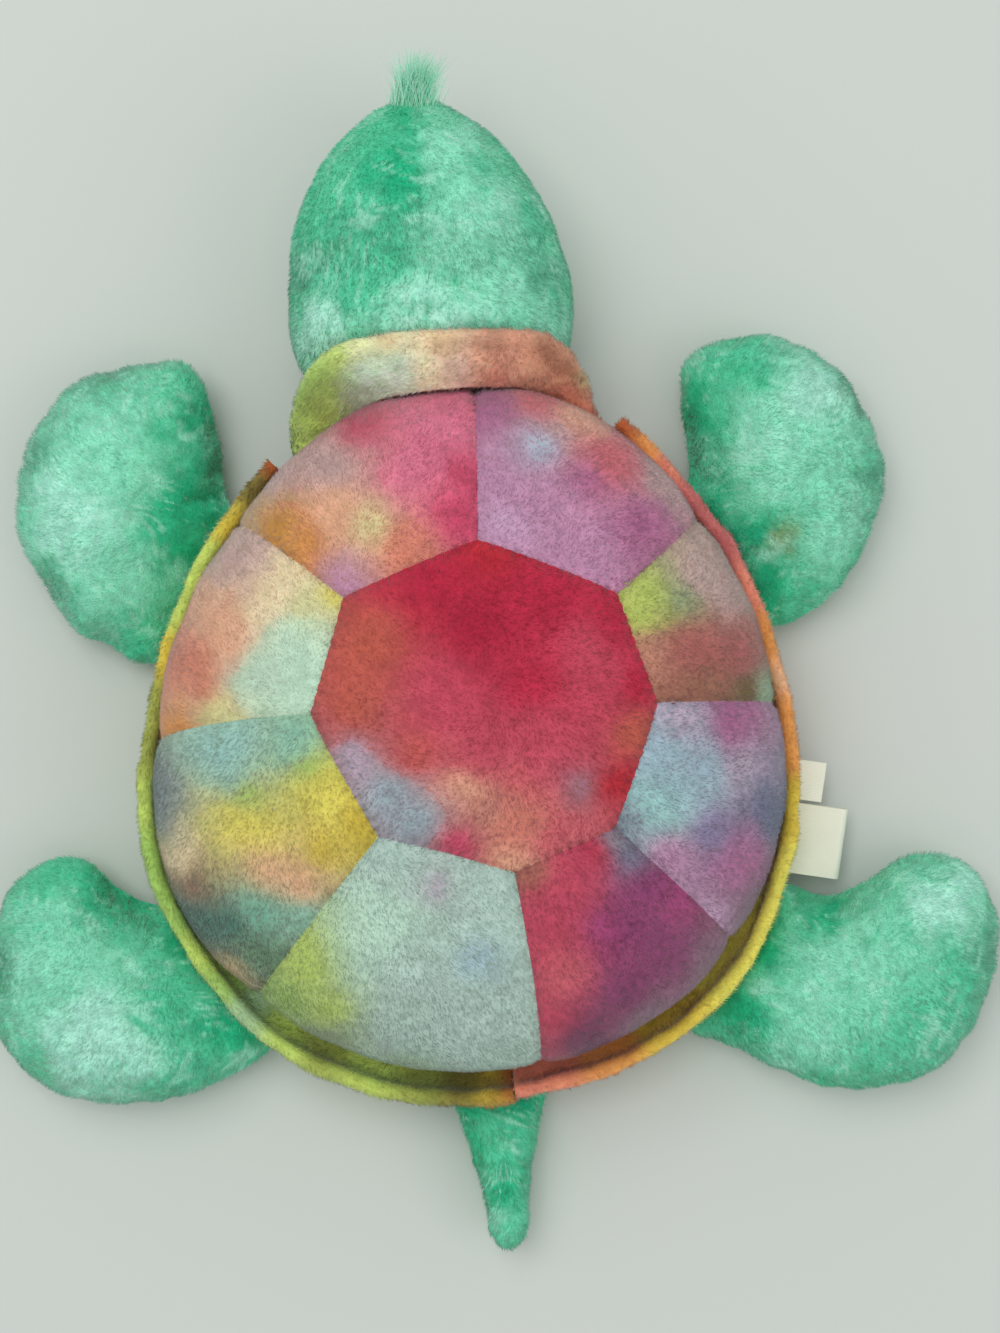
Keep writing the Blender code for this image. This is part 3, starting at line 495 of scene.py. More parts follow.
def new_object(name, points, faces, attributes):
    """An object of a surface in millimetres, with the colour and place that its cloth keeps."""
    mesh = bpy.data.meshes.new(name)
    mesh.from_pydata((points * MM).tolist(), [], [list(face) for face in faces])
    for key, values in attributes.items():
        if key == "dye":
            layer = mesh.color_attributes.new(name=key, type="FLOAT_COLOR", domain="POINT")
            rgba = np.concatenate([values, np.ones((len(values), 1))], 1)
            layer.data.foreach_set("color", rgba.ravel())
        else:
            layer = mesh.attributes.new(name=key, type="FLOAT_VECTOR", domain="POINT")
            layer.data.foreach_set("vector", np.asarray(values, float).ravel())
    mesh.shade_smooth()
    piece = bpy.data.objects.new(name, mesh)
    bpy.context.scene.collection.objects.link(piece)
    return piece


def values_of(items, key, wide=3, kind=float):
    """The values of one kind at all of a mesh's points or faces, a row for each."""
    values = np.empty(len(items) * wide, kind)
    items.foreach_get(key, values)
    return values.reshape(-1, wide)


CUT_EDGE = 55.0


def settle(piece):
    """Works a piece's modifiers into its mesh, and keeps its cut edges crisp."""
    graph = bpy.context.evaluated_depsgraph_get()
    made = bpy.data.meshes.new_from_object(piece.evaluated_get(graph))
    piece.modifiers.clear()
    old = piece.data
    piece.data = made
    bpy.data.meshes.remove(old)
    made.shade_smooth()
    made.set_sharp_from_angle(angle=math.radians(CUT_EDGE))


def new_finish(name, **gloss):
    """A material with its shader's roughness, sheen and the like set, its nodes and its links."""
    material = bpy.data.materials.new(name)
    material.use_nodes = True
    nodes = material.node_tree.nodes
    for socket, value in gloss.items():
        nodes["Principled BSDF"].inputs[socket.replace("_", " ")].default_value = value
    return material, nodes, material.node_tree.links.new


def grain(nodes, kind, **sizes):
    """A pattern node with its sizes set."""
    pattern = nodes.new(kind)
    for socket, value in sizes.items():
        pattern.inputs[socket].default_value = value
    return pattern


def shaded_by(nodes, link, pattern, seen, shades):
    """Darkens and lightens the base colour by a pattern, and gives the socket of that colour."""
    shade = nodes.new("ShaderNodeMapRange")
    shade.inputs["From Min"].default_value, shade.inputs["From Max"].default_value = seen
    shade.inputs["To Min"].default_value, shade.inputs["To Max"].default_value = shades
    mix = nodes.new("ShaderNodeMix")
    mix.data_type = "RGBA"
    mix.blend_type = "MULTIPLY"
    mix.inputs["Factor"].default_value = 1.0
    link(pattern, shade.inputs["Value"])
    link(shade.outputs["Result"], mix.inputs["B"])
    link(mix.outputs["Result"], nodes["Principled BSDF"].inputs["Base Color"])
    return mix.inputs["A"]


def embossed_by(nodes, link, pattern, strength, depth):
    """Raises the surface a little by a pattern. The depth is in metres."""
    bump = nodes.new("ShaderNodeBump")
    bump.inputs["Strength"].default_value = strength
    bump.inputs["Distance"].default_value = depth
    link(pattern, bump.inputs["Height"])
    link(bump.outputs["Normal"], nodes["Principled BSDF"].inputs["Normal"])


def kept_value(nodes, name):
    """The colour or place that a cloth keeps at its points."""
    kept = nodes.new("ShaderNodeAttribute")
    kept.attribute_name = name
    return kept.outputs["Color" if name == "dye" else "Vector"]


def plush_material(name, weave=2600.0, roughness=0.82, painted_gap_shade=0.78):
    """The ground cloth of a plush: dyed right through, mottled by noise that also darkens it overall as
    painted shade down between its fibres.
    """
    material, nodes, link = new_finish(
        name, Roughness=roughness, Sheen_Weight=0.25, Sheen_Roughness=0.5, Specular_IOR_Level=0.15
    )
    rest = kept_value(nodes, "rest")
    fibre = grain(nodes, "ShaderNodeTexNoise", Scale=weave, Detail=2.0)
    patch = grain(nodes, "ShaderNodeTexNoise", Scale=weave / 7)
    both = nodes.new("ShaderNodeMath")
    both.operation = "MULTIPLY"
    link(rest, fibre.inputs["Vector"])
    link(rest, patch.inputs["Vector"])
    link(fibre.outputs["Fac"], both.inputs[0])
    link(patch.outputs["Fac"], both.inputs[1])
    # Painted shade: the pattern darkens the ground cloth down to its lowest shade, standing for the
    # shade between the fibres.
    base = shaded_by(nodes, link, both.outputs["Value"], (0.12, 0.42), (painted_gap_shade, 1.06))
    link(kept_value(nodes, "dye"), base)
    embossed_by(nodes, link, fibre.outputs["Fac"], 0.5, 0.0003)
    return material


def nap_materials(prefix, colours):
    """One plain finish for each shade of the fibres."""
    return [
        new_finish(
            f"{prefix}_{number:02d}",
            Base_Color=(*colour, 1.0),
            Roughness=0.68,
            Sheen_Weight=0.3,
            Sheen_Roughness=0.4,
            Specular_IOR_Level=0.25,
        )[0]
        for number, colour in enumerate(colours)
    ]


def sorted_shades(colours, count, seed):
    """Sorts colours into a few shades, and gives the shades and each colour's shade."""
    rng = np.random.default_rng(seed)
    seen = np.sqrt(colours)
    shades = seen[rng.choice(len(seen), count, replace=False)]
    for _ in range(7):
        nearest = ((seen[:, None] - shades[None]) ** 2).sum(-1).argmin(1)
        for number in range(count):
            if (nearest == number).any():
                shades[number] = seen[nearest == number].mean(0)
    nearest = ((seen[:, None] - shades[None]) ** 2).sum(-1).argmin(1)
    return shades**2, nearest


SWIRL = 0.9
SWIRL_SIZE = 9
STRAY = 0.28
RUFFLE = 0.18
RUFFLE_SIZE = 5
ROOT_DEPTH = 0.12


def pile(cloth, outer_faces, per_mm2, length, width, combed, shades, seed, lively=0.16, lean=0.82):
    """The nap of a cloth: fine spikes rooted in its outer faces, combed one way and ruffled."""
    rng = np.random.default_rng(seed)
    mesh = cloth.data
    mesh.calc_loop_triangles()
    owner = values_of(mesh.loop_triangles, "polygon_index", 1, np.int32)[:, 0]
    corners = values_of(mesh.loop_triangles, "vertices", 3, np.int32)[owner < outer_faces]
    points = values_of(mesh.vertices, "co") / MM
    normals = values_of(mesh.vertices, "normal")
    dyes = values_of(mesh.color_attributes["dye"].data, "color", 4)[:, :3]
    rests = values_of(mesh.attributes["rest"].data, "vector") / MM
    triangle = points[corners]
    sides = np.cross(triangle[:, 1] - triangle[:, 0], triangle[:, 2] - triangle[:, 0])
    area = np.linalg.norm(sides, axis=1) / 2
    number = int(area.sum() * per_mm2)
    chosen = rng.choice(len(area), number, p=area / area.sum())
    first, second = rng.random((2, number))
    over = first + second > 1
    first[over], second[over] = 1 - first[over], 1 - second[over]
    shares = np.stack([1 - first - second, first, second], -1)[..., None]
    root = (points[corners[chosen]] * shares).sum(1)
    up = (normals[corners[chosen]] * shares).sum(1)
    up /= np.linalg.norm(up, axis=1, keepdims=True)
    colour = (dyes[corners[chosen]] * shares).sum(1)
    place = (rests[corners[chosen]] * shares).sum(1)
    drift = combed(place, up)
    swirl = cloudy_ways(place, SWIRL_SIZE, seed + 40)
    drift = drift + swirl * SWIRL + rng.normal(0, STRAY, drift.shape)
    drift -= (drift * up).sum(1, keepdims=True) * up
    drift /= np.maximum(np.linalg.norm(drift, axis=1, keepdims=True), 1e-9)
    lie = lean * (1 + RUFFLE * cloudy(place, RUFFLE_SIZE, seed + 50))[:, None]
    heading = drift * lie + up * np.sqrt(np.clip(1 - lie**2, 0.12, 1))
    long = (length * (0.75 + 0.5 * rng.random(number)))[:, None]
    side = np.cross(heading, up)
    side /= np.maximum(np.linalg.norm(side, axis=1, keepdims=True), 1e-9)
    wide = (width * (0.7 + 0.6 * rng.random(number)))[:, None] / 2
    foot = root - up * ROOT_DEPTH
    spikes = np.stack(
        [
            foot + side * wide,
            foot - side * wide * 0.5 + np.cross(side, heading) * wide * 0.85,
            foot - side * wide * 0.5 - np.cross(side, heading) * wide * 0.85,
            root + heading * long,
        ],
        1,
    ).reshape(-1, 3)
    base = np.arange(number)[:, None] * 4
    faces = np.concatenate(
        [base + np.array([0, 1, 3]), base + np.array([1, 2, 3]), base + np.array([2, 0, 3])], 1
    ).reshape(-1, 3)
    light = 1 + lively * rng.normal(0, 1, number) + 0.13 * cloudy(place, 2.2, seed + 60)
    colour = np.clip(colour * np.clip(light, 0.45, 1.7)[:, None], 0.002, 0.92)
    tones, tone = sorted_shades(colour, shades, seed)
    nap = bpy.data.meshes.new(cloth.name + "_nap")
    nap.vertices.add(len(spikes))
    nap.vertices.foreach_set("co", (spikes * MM).ravel())
    nap.loops.add(faces.size)
    nap.loops.foreach_set("vertex_index", faces.ravel().astype(np.int32))
    nap.polygons.add(len(faces))
    nap.polygons.foreach_set("loop_start", np.arange(0, faces.size, 3, dtype=np.int32))
    for material in nap_materials(cloth.name + "_nap", tones):
        nap.materials.append(material)
    nap.polygons.foreach_set("material_index", np.repeat(tone, 3).astype(np.int32))
    nap.update(calc_edges=True)
    piece = bpy.data.objects.new(cloth.name + "_nap", nap)
    bpy.context.scene.collection.objects.link(piece)
    return piece


def combed_down(seed):
    """A nap that falls away from the shell's top, each panel's a little its own way."""
    swing = np.radians(np.random.default_rng(seed).uniform(-70, 70))

    def combed(points, up):
        away = points[:, :2] - APEX
        away /= np.maximum(np.linalg.norm(away, axis=1, keepdims=True), 4.0)
        right = away[:, 0] * np.cos(swing) - away[:, 1] * np.sin(swing)
        forward = away[:, 0] * np.sin(swing) + away[:, 1] * np.cos(swing)
        return np.stack([right, forward - 0.2, np.full(len(points), -0.5)], -1)

    return combed


dyed_plush = plush_material("dyed_plush")


def line_cloth(piece, thickness=CLOTH):
    """Gives a sheet of plush its thickness, inwards, and says how many faces are outside."""
    outside = len(piece.data.polygons)
    solidify = piece.modifiers.new("thickness", "SOLIDIFY")
    solidify.thickness = thickness * MM
    solidify.offset = -1.0
    settle(piece)
    return outside


PANEL_NAMES = (
    "shell_panel_right",
    "shell_panel_front_right",
    "shell_panel_front_left",
    "shell_panel_left",
    "shell_panel_rear_left",
    "shell_panel_tail_left",
    "shell_panel_tail_right",
    "shell_panel_rear_right",
)
panel_grids = {name: side_panel_grid(number) for number, name in enumerate(PANEL_NAMES)}
panel_grids["shell_panel_centre"] = centre_panel_grid()
shell_splashes = {
    name: side_splashes(number, SIDE_SPLASHES[name]) for number, name in enumerate(PANEL_NAMES)
}
shell_splashes["shell_panel_centre"] = [
    (dye, APEX[0] + right * CENTRE_REACH, APEX[1] + forward * CENTRE_REACH, radius)
    for dye, right, forward, radius in CENTRE_SPLASHES
]
for seed, (panel_name, (points, quads)) in enumerate(panel_grids.items()):
    out = surface_normals(points, quads)
    sewn = points + out * sewn_relief(points)[:, None]
    colours = dyed(points, shell_splashes[panel_name], 10 * seed + 3)
    mottle = 1 + 0.07 * cloudy(points, 3.5, seed + 80) + 0.05 * cloudy(points, 11, seed + 90)
    kept = {"dye": np.clip(colours * mottle[:, None], 0, 1), "rest": points * MM}
    faces = [list(quad) for quad in quads]
    if panel_name.endswith("centre"):
        faces.append(list(range(len(SEAM_SHARES) * (PANEL_COLUMNS - 1))))
    panel = new_object(panel_name + "_cloth", sewn, faces, kept)
    outside = line_cloth(panel)
    panel.data.materials.append(dyed_plush)
    nap = pile(panel, outside, 4.0, 0.95, 0.2, combed_down(seed), 16, 100 + seed, lively=0.11)
    slot = "crimson_plush" if panel_name.endswith("centre") else panel_name + "_plush"
    for piece in (panel, nap):
        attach(piece, "torso")
        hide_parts(panel_name)

# The belly is one oval of the same plush. It turns up to the girth seam, and it is pressed flat
# where the turtle lies on it.

GIRTH_HEIGHT = 9.5
GIRTH_INSET = 1.0
BELLY_ROUND = 13.0
BELLY_CLEAR = 0.7
BELLY_AROUND = 150
BELLY_TURN_ROWS = 16
# Dyes on the belly: dye, place to the right and forward, and the radius of the splash
BELLY_SPLASHES = (
    ("mauve", 30, 40, 26), ("tan", -28, 34, 24), ("grey_mint", -30, -24, 26),
    ("lilac", 26, -30, 24), ("peach", 0, 4, 20), ("sage", 4, 66, 18), ("rose", 50, 2, 14),
)

belly_angle = np.linspace(0, 360, BELLY_AROUND, endpoint=False)
belly_rows = []
for turn in np.radians(np.linspace(0, 90, BELLY_TURN_ROWS)):
    flat = outline(belly_angle, -GIRTH_INSET - BELLY_ROUND * (1 - math.cos(turn)))
    height = np.full(BELLY_AROUND, lerp(GIRTH_HEIGHT, BELLY_CLEAR, math.sin(turn)))
    belly_rows.append(np.column_stack([flat, height]))
belly_flat = belly_rows[-1]
for share in np.linspace(0.96, 0.02, 30):
    belly_rows.append(belly_flat * [share, share, 1] + [*(APEX * (1 - share)), 0])
belly_points = np.concatenate(belly_rows)
belly_quads = grid_quads(len(belly_rows), BELLY_AROUND, True)[:, ::-1]
belly_colours = dyed(belly_points, BELLY_SPLASHES, 211)
belly = new_object(
    "belly_cloth", belly_points, belly_quads, {"dye": belly_colours, "rest": belly_points * MM}
)
belly_outside = line_cloth(belly)
belly.data.materials.append(dyed_plush)
belly_nap = pile(belly, belly_outside, 1.1, 0.9, 0.26, combed_down(31), 12, 230, lean=0.95)
for piece in (belly, belly_nap):
    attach(piece, "torso")
    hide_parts("belly_panel")

# The rim is a strip of dyed plush folded double, sewn in at the girth and standing up round the
# dome like a gutter. It is two strips, joined behind beside the tail. In front each ends in a peak.

RIM_ROOT_HEIGHT = 11.2
RIM_ROOT_INSET = 3.0
RIM_LEAN = 6.2
RIM_REAR_LEAN = 4.8
RIM_RISE = 9.3
RIM_PEAK = 7.0
RIM_PEAK_ANGLE = 8.0
RIM_LENGTH_PER_DEGREE = 1.25
RIM_STEP = 0.9
RIM_ROWS = 18
RIM_WAVE_SIZE = 22
RIM_RIPPLE_SIZE = 8
RIM_JOIN = 277.0
RIM_JOIN_GAP = 0.25
RIM_LEFT_END = 131.0
RIM_RIGHT_END = 419.5
FOLD_HALF = 1.15
ROLL_SHARE = 0.5
# How much lighter the rim's and collar's dyes are painted, making up for the shade on their steep,
# folded faces
BAND_PAINTED_LIGHT = 1.3
RIM_DYE_OUT = 3.0
# Dyes poured along the rim: dye, its angle round the shell, and the radius of the splash
RIM_SPLASHES = {
    "rim_left": (
        ("rust", 131, 3), ("dark_olive", 137, 4), ("gold", 144, 5), ("lime", 150, 5),
        ("lime", 158, 6), ("gold", 166, 5), ("olive", 174, 6), ("olive", 182, 6),
        ("lime", 190, 5), ("leaf", 200, 6), ("leaf", 210, 6), ("lime", 218, 5), ("leaf", 225, 5),
        ("sage_mint", 232, 5), ("lime", 240, 5), ("olive", 247, 5), ("lime", 254, 5),
        ("olive", 261, 5), ("dark_olive", 268, 5), ("gold", 272, 3), ("rust", 276, 3),
    ),
    "rim_right": (
        ("salmon", 280, 5), ("salmon", 285, 5), ("orange", 290, 5), ("orange", 294, 4),
        ("gold", 300, 5), ("gold", 307, 5), ("yellow", 316, 7), ("yellow", 326, 7),
        ("yellow", 334, 6), ("yellow", 340, 5), ("gold", 346, 5), ("gold", 352, 4),
        ("orange", 358, 5), ("orange", 365, 5), ("peach", 369, 3), ("orange", 376, 5),
        ("salmon", 384, 5), ("rose_brown", 394, 6), ("rose_brown", 403, 5), ("salmon", 409, 4),
        ("orange", 413, 4), ("rust", 418, 4),
    ),
}


def folded_band(name, middle, half, splashes, seed):
    """A doubled strip round a middle sheet of points [along, up], with its fold along the top."""
    count, rows = middle.shape[:2]
    upward = np.gradient(middle, axis=1)
    upward /= np.linalg.norm(upward, axis=2, keepdims=True)
    ahead = np.gradient(middle, axis=0)
    out = np.cross(ahead, upward)
    out /= np.linalg.norm(out, axis=2, keepdims=True)
    turns = np.radians(np.linspace(0, 180, 9))[1:-1]
    roll = half * (1 + ROLL_SHARE * bell(np.arange(rows) - (rows - 1), 0.2 * rows))
    ring = [middle[:, row] + out[:, row] * roll[row] for row in range(rows)]
    ring += [
        middle[:, -1] + roll[-1] * (out[:, -1] * math.cos(turn) + upward[:, -1] * math.sin(turn))
        for turn in turns
    ]
    ring += [middle[:, row] - out[:, row] * roll[row] for row in reversed(range(rows))]
    points = np.stack(ring, 1)
    around = points.shape[1]
    points = points.reshape(-1, 3)
    quads = grid_quads(count, around, True)
    faces = [list(quad) for quad in quads]
    faces.append(list(range(around))[::-1])
    faces.append([(count - 1) * around + number for number in range(around)])
    signed = surface_normals(points, quads)
    if (signed[:rows] * out[0]).sum() < 0:
        faces = [face[::-1] for face in faces]
        signed = -signed
    lumps = 0.35 * cloudy(points, 6, seed) + 0.2 * cloudy(points, 2.5, seed + 1)
    points = points + signed * lumps[:, None]
    # Painted light: the band's dyes are lifted to make up for the shade on its steep faces.
    colours = BAND_PAINTED_LIGHT * dyed(points, splashes, seed + 2)
    colours = colours * (1 + 0.08 * cloudy(points, 3, seed + 9))[:, None]
    return new_object(name, points, faces, {"dye": np.clip(colours, 0, 1), "rest": points * MM})


def rim_middle(start, end, seed):
    """The middle sheet of a rim: it leans out from its root and turns up, and peaks at its end."""
    count = int(abs(end - start) * RIM_LENGTH_PER_DEGREE / RIM_STEP)
    angle = np.linspace(start, end, count)[:, None]
    climb = np.linspace(0, 1, RIM_ROWS)[None]
    rearward = np.maximum(-np.sin(np.radians(angle)), 0)
    place = np.concatenate([outline(angle[:, 0]), np.zeros((count, 1))], 1)
    wave = cloudy(place, RIM_WAVE_SIZE, seed)[:, None]
    ripple = cloudy(place, RIM_RIPPLE_SIZE, seed + 1)[:, None]
    lean = RIM_LEAN + RIM_REAR_LEAN * rearward + 0.9 * wave + 0.35 * ripple
    rise = RIM_RISE + RIM_PEAK * bell(angle - end, RIM_PEAK_ANGLE) + 0.8 * wave + 0.4 * ripple
    turn = np.radians(90) * climb
    flat = outline(np.broadcast_to(angle, (count, RIM_ROWS)), lean * np.sin(turn) - RIM_ROOT_INSET)
    height = RIM_ROOT_HEIGHT + rise * (1 - np.cos(turn))
    return np.concatenate([flat, height[..., None]], -1)


for seed, (rim_name, rim_start, rim_end) in enumerate(
    (("rim_left", RIM_JOIN - RIM_JOIN_GAP, RIM_LEFT_END), ("rim_right", RIM_JOIN, RIM_RIGHT_END))
):
    middle = rim_middle(rim_start, rim_end, 300 + seed)
    splashes = [
        (dye, *outline(angle, RIM_DYE_OUT), radius) for dye, angle, radius in RIM_SPLASHES[rim_name]
    ]
    rim = folded_band(rim_name + "_fold", middle, FOLD_HALF, splashes, 310 + seed)
    rim.data.materials.append(dyed_plush)
    nap = pile(rim, len(rim.data.polygons), 2.6, 1.1, 0.24, combed_down(41 + seed), 14, 330 + seed)
    for piece in (rim, nap):
        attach(piece, "torso")
        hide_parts(rim_name)

# The collar is another doubled strip. Its rear edge is sewn to the dome and its front edge, the
# fold, stands over the neck like a hood. Its feet end beside the rim's peaks.

HEAD_RIGHT = -8.5
COLLAR_LEFT_ANGLE = 128.0
COLLAR_RIGHT_ANGLE = 60.0
COLLAR_SHIFT = 2.2
COLLAR_HALF_SPAN = 32.0
COLLAR_TOP = 47.0
COLLAR_TOP_REACH = 9.2
COLLAR_FOOT = 12.5
COLLAR_FOOT_REACH = 5.5
COLLAR_FOOT_FALL = 1.7
COLLAR_ROOT_CLIMB = 0.893
COLLAR_OFF_SHELL = 0.3
COLLAR_ARCH = 1.4
COLLAR_WAVE = 0.8
COLLAR_WAVE_SIZE = 14
COLLAR_COLUMNS = 130
COLLAR_ROWS = 26
# Dyes poured on the collar: dye, shares of the way along it from its right foot and of the way up
# from its sewn edge to its fold, and the radius of the splash
COLLAR_SPLASHES = (
    ("lime", 0.97, 0.5, 4), ("lime", 0.88, 0.4, 5), ("leaf", 0.88, 0.95, 5),
    ("leaf", 0.8, 0.9, 4), ("lime", 0.73, 0.95, 4), ("pale_mint", 0.7, 0.4, 5),
    ("pale_mint", 0.62, 0.35, 5), ("cream_lime", 0.66, 0.95, 4), ("tan", 0.6, 0.9, 4),
    ("cream", 0.55, 0.4, 5), ("tan", 0.5, 0.9, 4), ("grey_pink", 0.48, 0.4, 5),
    ("brown", 0.4, 0.85, 4), ("peach", 0.42, 0.45, 4), ("salmon", 0.38, 0.1, 4),
    ("tan_rose", 0.33, 0.7, 4), ("peach", 0.3, 0.4, 4), ("brown", 0.23, 0.95, 4),
    ("peach", 0.24, 0.4, 4), ("sage", 0.12, 0.8, 3), ("salmon", 0.15, 0.2, 4),
    ("salmon", 0.08, 0.3, 4), ("rust", 0.02, 0.3, 4),
)

collar_along = np.linspace(0, 1, COLLAR_COLUMNS)
collar_angle = lerp(COLLAR_RIGHT_ANGLE, COLLAR_LEFT_ANGLE, collar_along)
collar_lift = np.maximum(np.sin(math.pi * collar_along), 0)
collar_fall = COLLAR_FOOT_FALL - COLLAR_ROOT_CLIMB * collar_lift**0.6
collar_root = dome(collar_angle, collar_fall, -FOLD_HALF - COLLAR_OFF_SHELL)
collar_swing = np.cos(math.pi * collar_along)
collar_swing = np.sign(collar_swing) * np.abs(collar_swing) ** 0.85
collar_front = np.column_stack(
    [
        HEAD_RIGHT + COLLAR_SHIFT + COLLAR_HALF_SPAN * collar_swing,
        collar_root[:, 1] + lerp(COLLAR_FOOT_REACH, COLLAR_TOP_REACH, collar_lift),
        lerp(COLLAR_FOOT, COLLAR_TOP, collar_lift**0.8),
    ]
)
collar_up = np.linspace(0, 1, COLLAR_ROWS)[None, :, None]
collar_middle = lerp(collar_root[:, None], collar_front[:, None], collar_up)
collar_middle[..., 2] += COLLAR_ARCH * np.sin(math.pi * collar_up[..., 0]) * collar_lift[:, None]
collar_wave = cloudy(collar_middle.reshape(-1, 3), COLLAR_WAVE_SIZE, 401)
collar_wave = collar_wave.reshape(COLLAR_COLUMNS, -1)
collar_middle[..., 2] += COLLAR_WAVE * collar_wave * collar_up[..., 0]
collar_dyes = []
for dye, along, up, radius in COLLAR_SPLASHES:
    column = round(along * (COLLAR_COLUMNS - 1))
    row = round(up * (COLLAR_ROWS - 1))
    collar_dyes.append((dye, *collar_middle[column, row, :2], radius))
collar = folded_band("neck_collar_fold", collar_middle, FOLD_HALF, collar_dyes, 410)
collar.data.materials.append(dyed_plush)
collar_nap = pile(collar, len(collar.data.polygons), 2.8, 1.15, 0.24, combed_down(51), 14, 430)
for piece in (collar, collar_nap):
    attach(piece, "torso")
    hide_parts("neck_collar")

# Each flipper, and the tail, is an upper and a lower piece of crushed mint plush sewn round loose
# fibre. They are blown up here like sewn pillows, so that the cloth crowns and puckers at its seam.

# Tones of the mint plush. 'mid' is its own colour; 'light' and 'bright' are painted nap light and
# painted highlights, and 'deep' and 'grey' are painted nap shade, where the crushed nap turns to or
# from the lamp.
MINTS = {
    "deep": (28, 196, 142),
    "mid": (90, 214, 168),
    "light": (150, 238, 204),
    "bright": (186, 250, 226),
    "grey": (98, 186, 150),
    "tan": (140, 178, 120),
}
LIMB_TAPER = 32.0
LIMB_ROOT_SHARE = 0.34
LIMB_ROOT_DROP = 2.8
LIMB_RISE = 0.06
LIMB_TUCK = 0.4
LIMB_HELD = 5.0
LIMB_AROUND = 96
LIMB_RINGS = 18
FLOOR_CLEAR = 1.4
# Each limb's reach from its root, its span, how far it swells, its middle as shares of reach and
# span, and the length over which it thins towards its root
FRONT_SIZE = (50.0, 43.5, 14.0, (0.50, 0.20), LIMB_TAPER)
HIND_SIZE = (55.0, 46.5, 14.5, (0.50, 0.26), LIMB_TAPER)
TAIL_SIZE = (46.0, 10.8, 6.5, (0.40, 0.0), 24.0)
ROOT_SHARES = ((0.0, -0.36), (-0.04, 0.0), (0.0, 0.36))
# Each limb's angle round the shell, the side of it that is forward, its size, its seam's corners as
# shares of reach and span, and its patches of painted nap light and shade over its mid mint: which
# tone, place to the right and forward, and radius
LIMBS = {
    "front_left_flipper": (
        154.0, -1, FRONT_SIZE,
        ((0.16, 0.47), (0.31, 0.73), (0.53, 0.98), (0.73, 0.91), (0.99, 0.64), (1.05, 0.255),
         (0.94, -0.14), (0.71, -0.36), (0.50, -0.50), (0.34, -0.49), (0.17, -0.50)),
        (("light", -81, 63, 14), ("bright", -88, 50, 11), ("light", -79, 37, 10),
         ("deep", -60, 72, 5), ("deep", -63, 54, 7), ("deep", -65, 41, 7), ("mid", -72, 24, 6),
         ("grey", -98, 64, 5), ("grey", -95, 37, 5), ("grey", -84, 81, 5)),
    ),
    "front_right_flipper": (
        31.5, 1, FRONT_SIZE,
        ((0.13, 0.435), (0.28, 0.81), (0.40, 0.975), (0.67, 0.92), (0.86, 0.73), (0.96, 0.42),
         (0.90, -0.02), (0.72, -0.26), (0.47, -0.45), (0.24, -0.48), (0.13, -0.45)),
        (("light", 72, 66, 13), ("bright", 74, 77, 9), ("deep", 50, 74, 6), ("deep", 53, 54, 5),
         ("deep", 61, 46, 5), ("deep", 64, 34, 5), ("tan", 69, 45, 4), ("grey", 90, 61, 5),
         ("grey", 86, 78, 4), ("light", 81, 48, 8), ("mid", 58, 84, 7)),
    ),
    "hind_left_flipper": (
        224.0, -1, HIND_SIZE,
        ((0.11, 0.43), (0.20, 0.62), (0.23, 0.86), (0.336, 0.97), (0.51, 1.0), (0.68, 0.89),
         (0.93, 0.57), (0.98, 0.29), (0.90, 0.04), (0.735, -0.185), (0.52, -0.34),
         (0.30, -0.415), (0.095, -0.44)),
        (("light", -92, -49, 13), ("bright", -81, -66, 11), ("deep", -79, -34, 6),
         ("deep", -61, -43, 6), ("mid", -67, -58, 8), ("deep", -54, -60, 7), ("mid", -61, -75, 6),
         ("grey", -106, -50, 5), ("mid", -97, -32, 7)),
    ),
    "hind_right_flipper": (
        320.5, 1, HIND_SIZE,
        ((0.275, 0.49), (0.38, 0.69), (0.44, 0.87), (0.55, 0.99), (0.71, 1.02), (0.90, 0.88),
         (1.03, 0.60), (1.07, 0.27), (0.985, 0.01), (0.77, -0.22), (0.57, -0.31),
         (0.345, -0.37), (0.176, -0.43)),
        (("light", 85, -49, 13), ("bright", 105, -36, 8), ("light", 75, -62, 10),
         ("deep", 66, -45, 5), ("deep", 79, -38, 5), ("grey", 115, -44, 5), ("mid", 105, -66, 7),
         ("deep", 60, -62, 6)),
    ),
    "tail": (
        274.5, 1, TAIL_SIZE,
        ((0.15, 1.0), (0.40, 0.80), (0.70, 0.50), (0.93, 0.36), (1.0, 0.0), (0.93, -0.36),
         (0.70, -0.50), (0.40, -0.80), (0.15, -1.0)),
        (("mid", 6, -90, 5), ("deep", 14, -84, 5), ("deep", -1, -80, 6), ("deep", 1, -94, 5),
         ("deep", 8, -100, 5), ("light", 5, -108, 5)),
    ),
}


def closed_line(corners, count):
    """A smooth closed line through corners, at even steps along it."""
    corners = np.asarray(corners, float)
    place = np.linspace(0, len(corners), 1200, endpoint=False)
    number, share = place.astype(int), (place % 1)[:, None]
    before, start, end, after = (corners[(number + step) % len(corners)] for step in (-1, 0, 1, 2))
    square, cube = share**2, share**3
    line = (
        start * (2 * cube - 3 * square + 1)
        + (end - before) / 2 * (cube - 2 * square + share)
        + end * (3 * square - 2 * cube)
        + (after - start) / 2 * (cube - square)
    )
    loop = np.concatenate([line, line[:1]])
    walked = np.concatenate([[0], np.cumsum(np.linalg.norm(np.diff(loop, axis=0), axis=1))])
    even = np.linspace(0, walked[-1], count, endpoint=False)
    return np.stack([np.interp(even, walked, loop[:, axis]) for axis in range(2)], -1)


def limb_frame(angle):
    """Where a limb is hinged on the girth, and which way is straight out from the body there."""
    step = outline(angle + 1) - outline(angle - 1)
    out = np.array([step[1], -step[0]]) / np.hypot(*step)
    return outline(angle, 0.3 - GIRTH_INSET), out


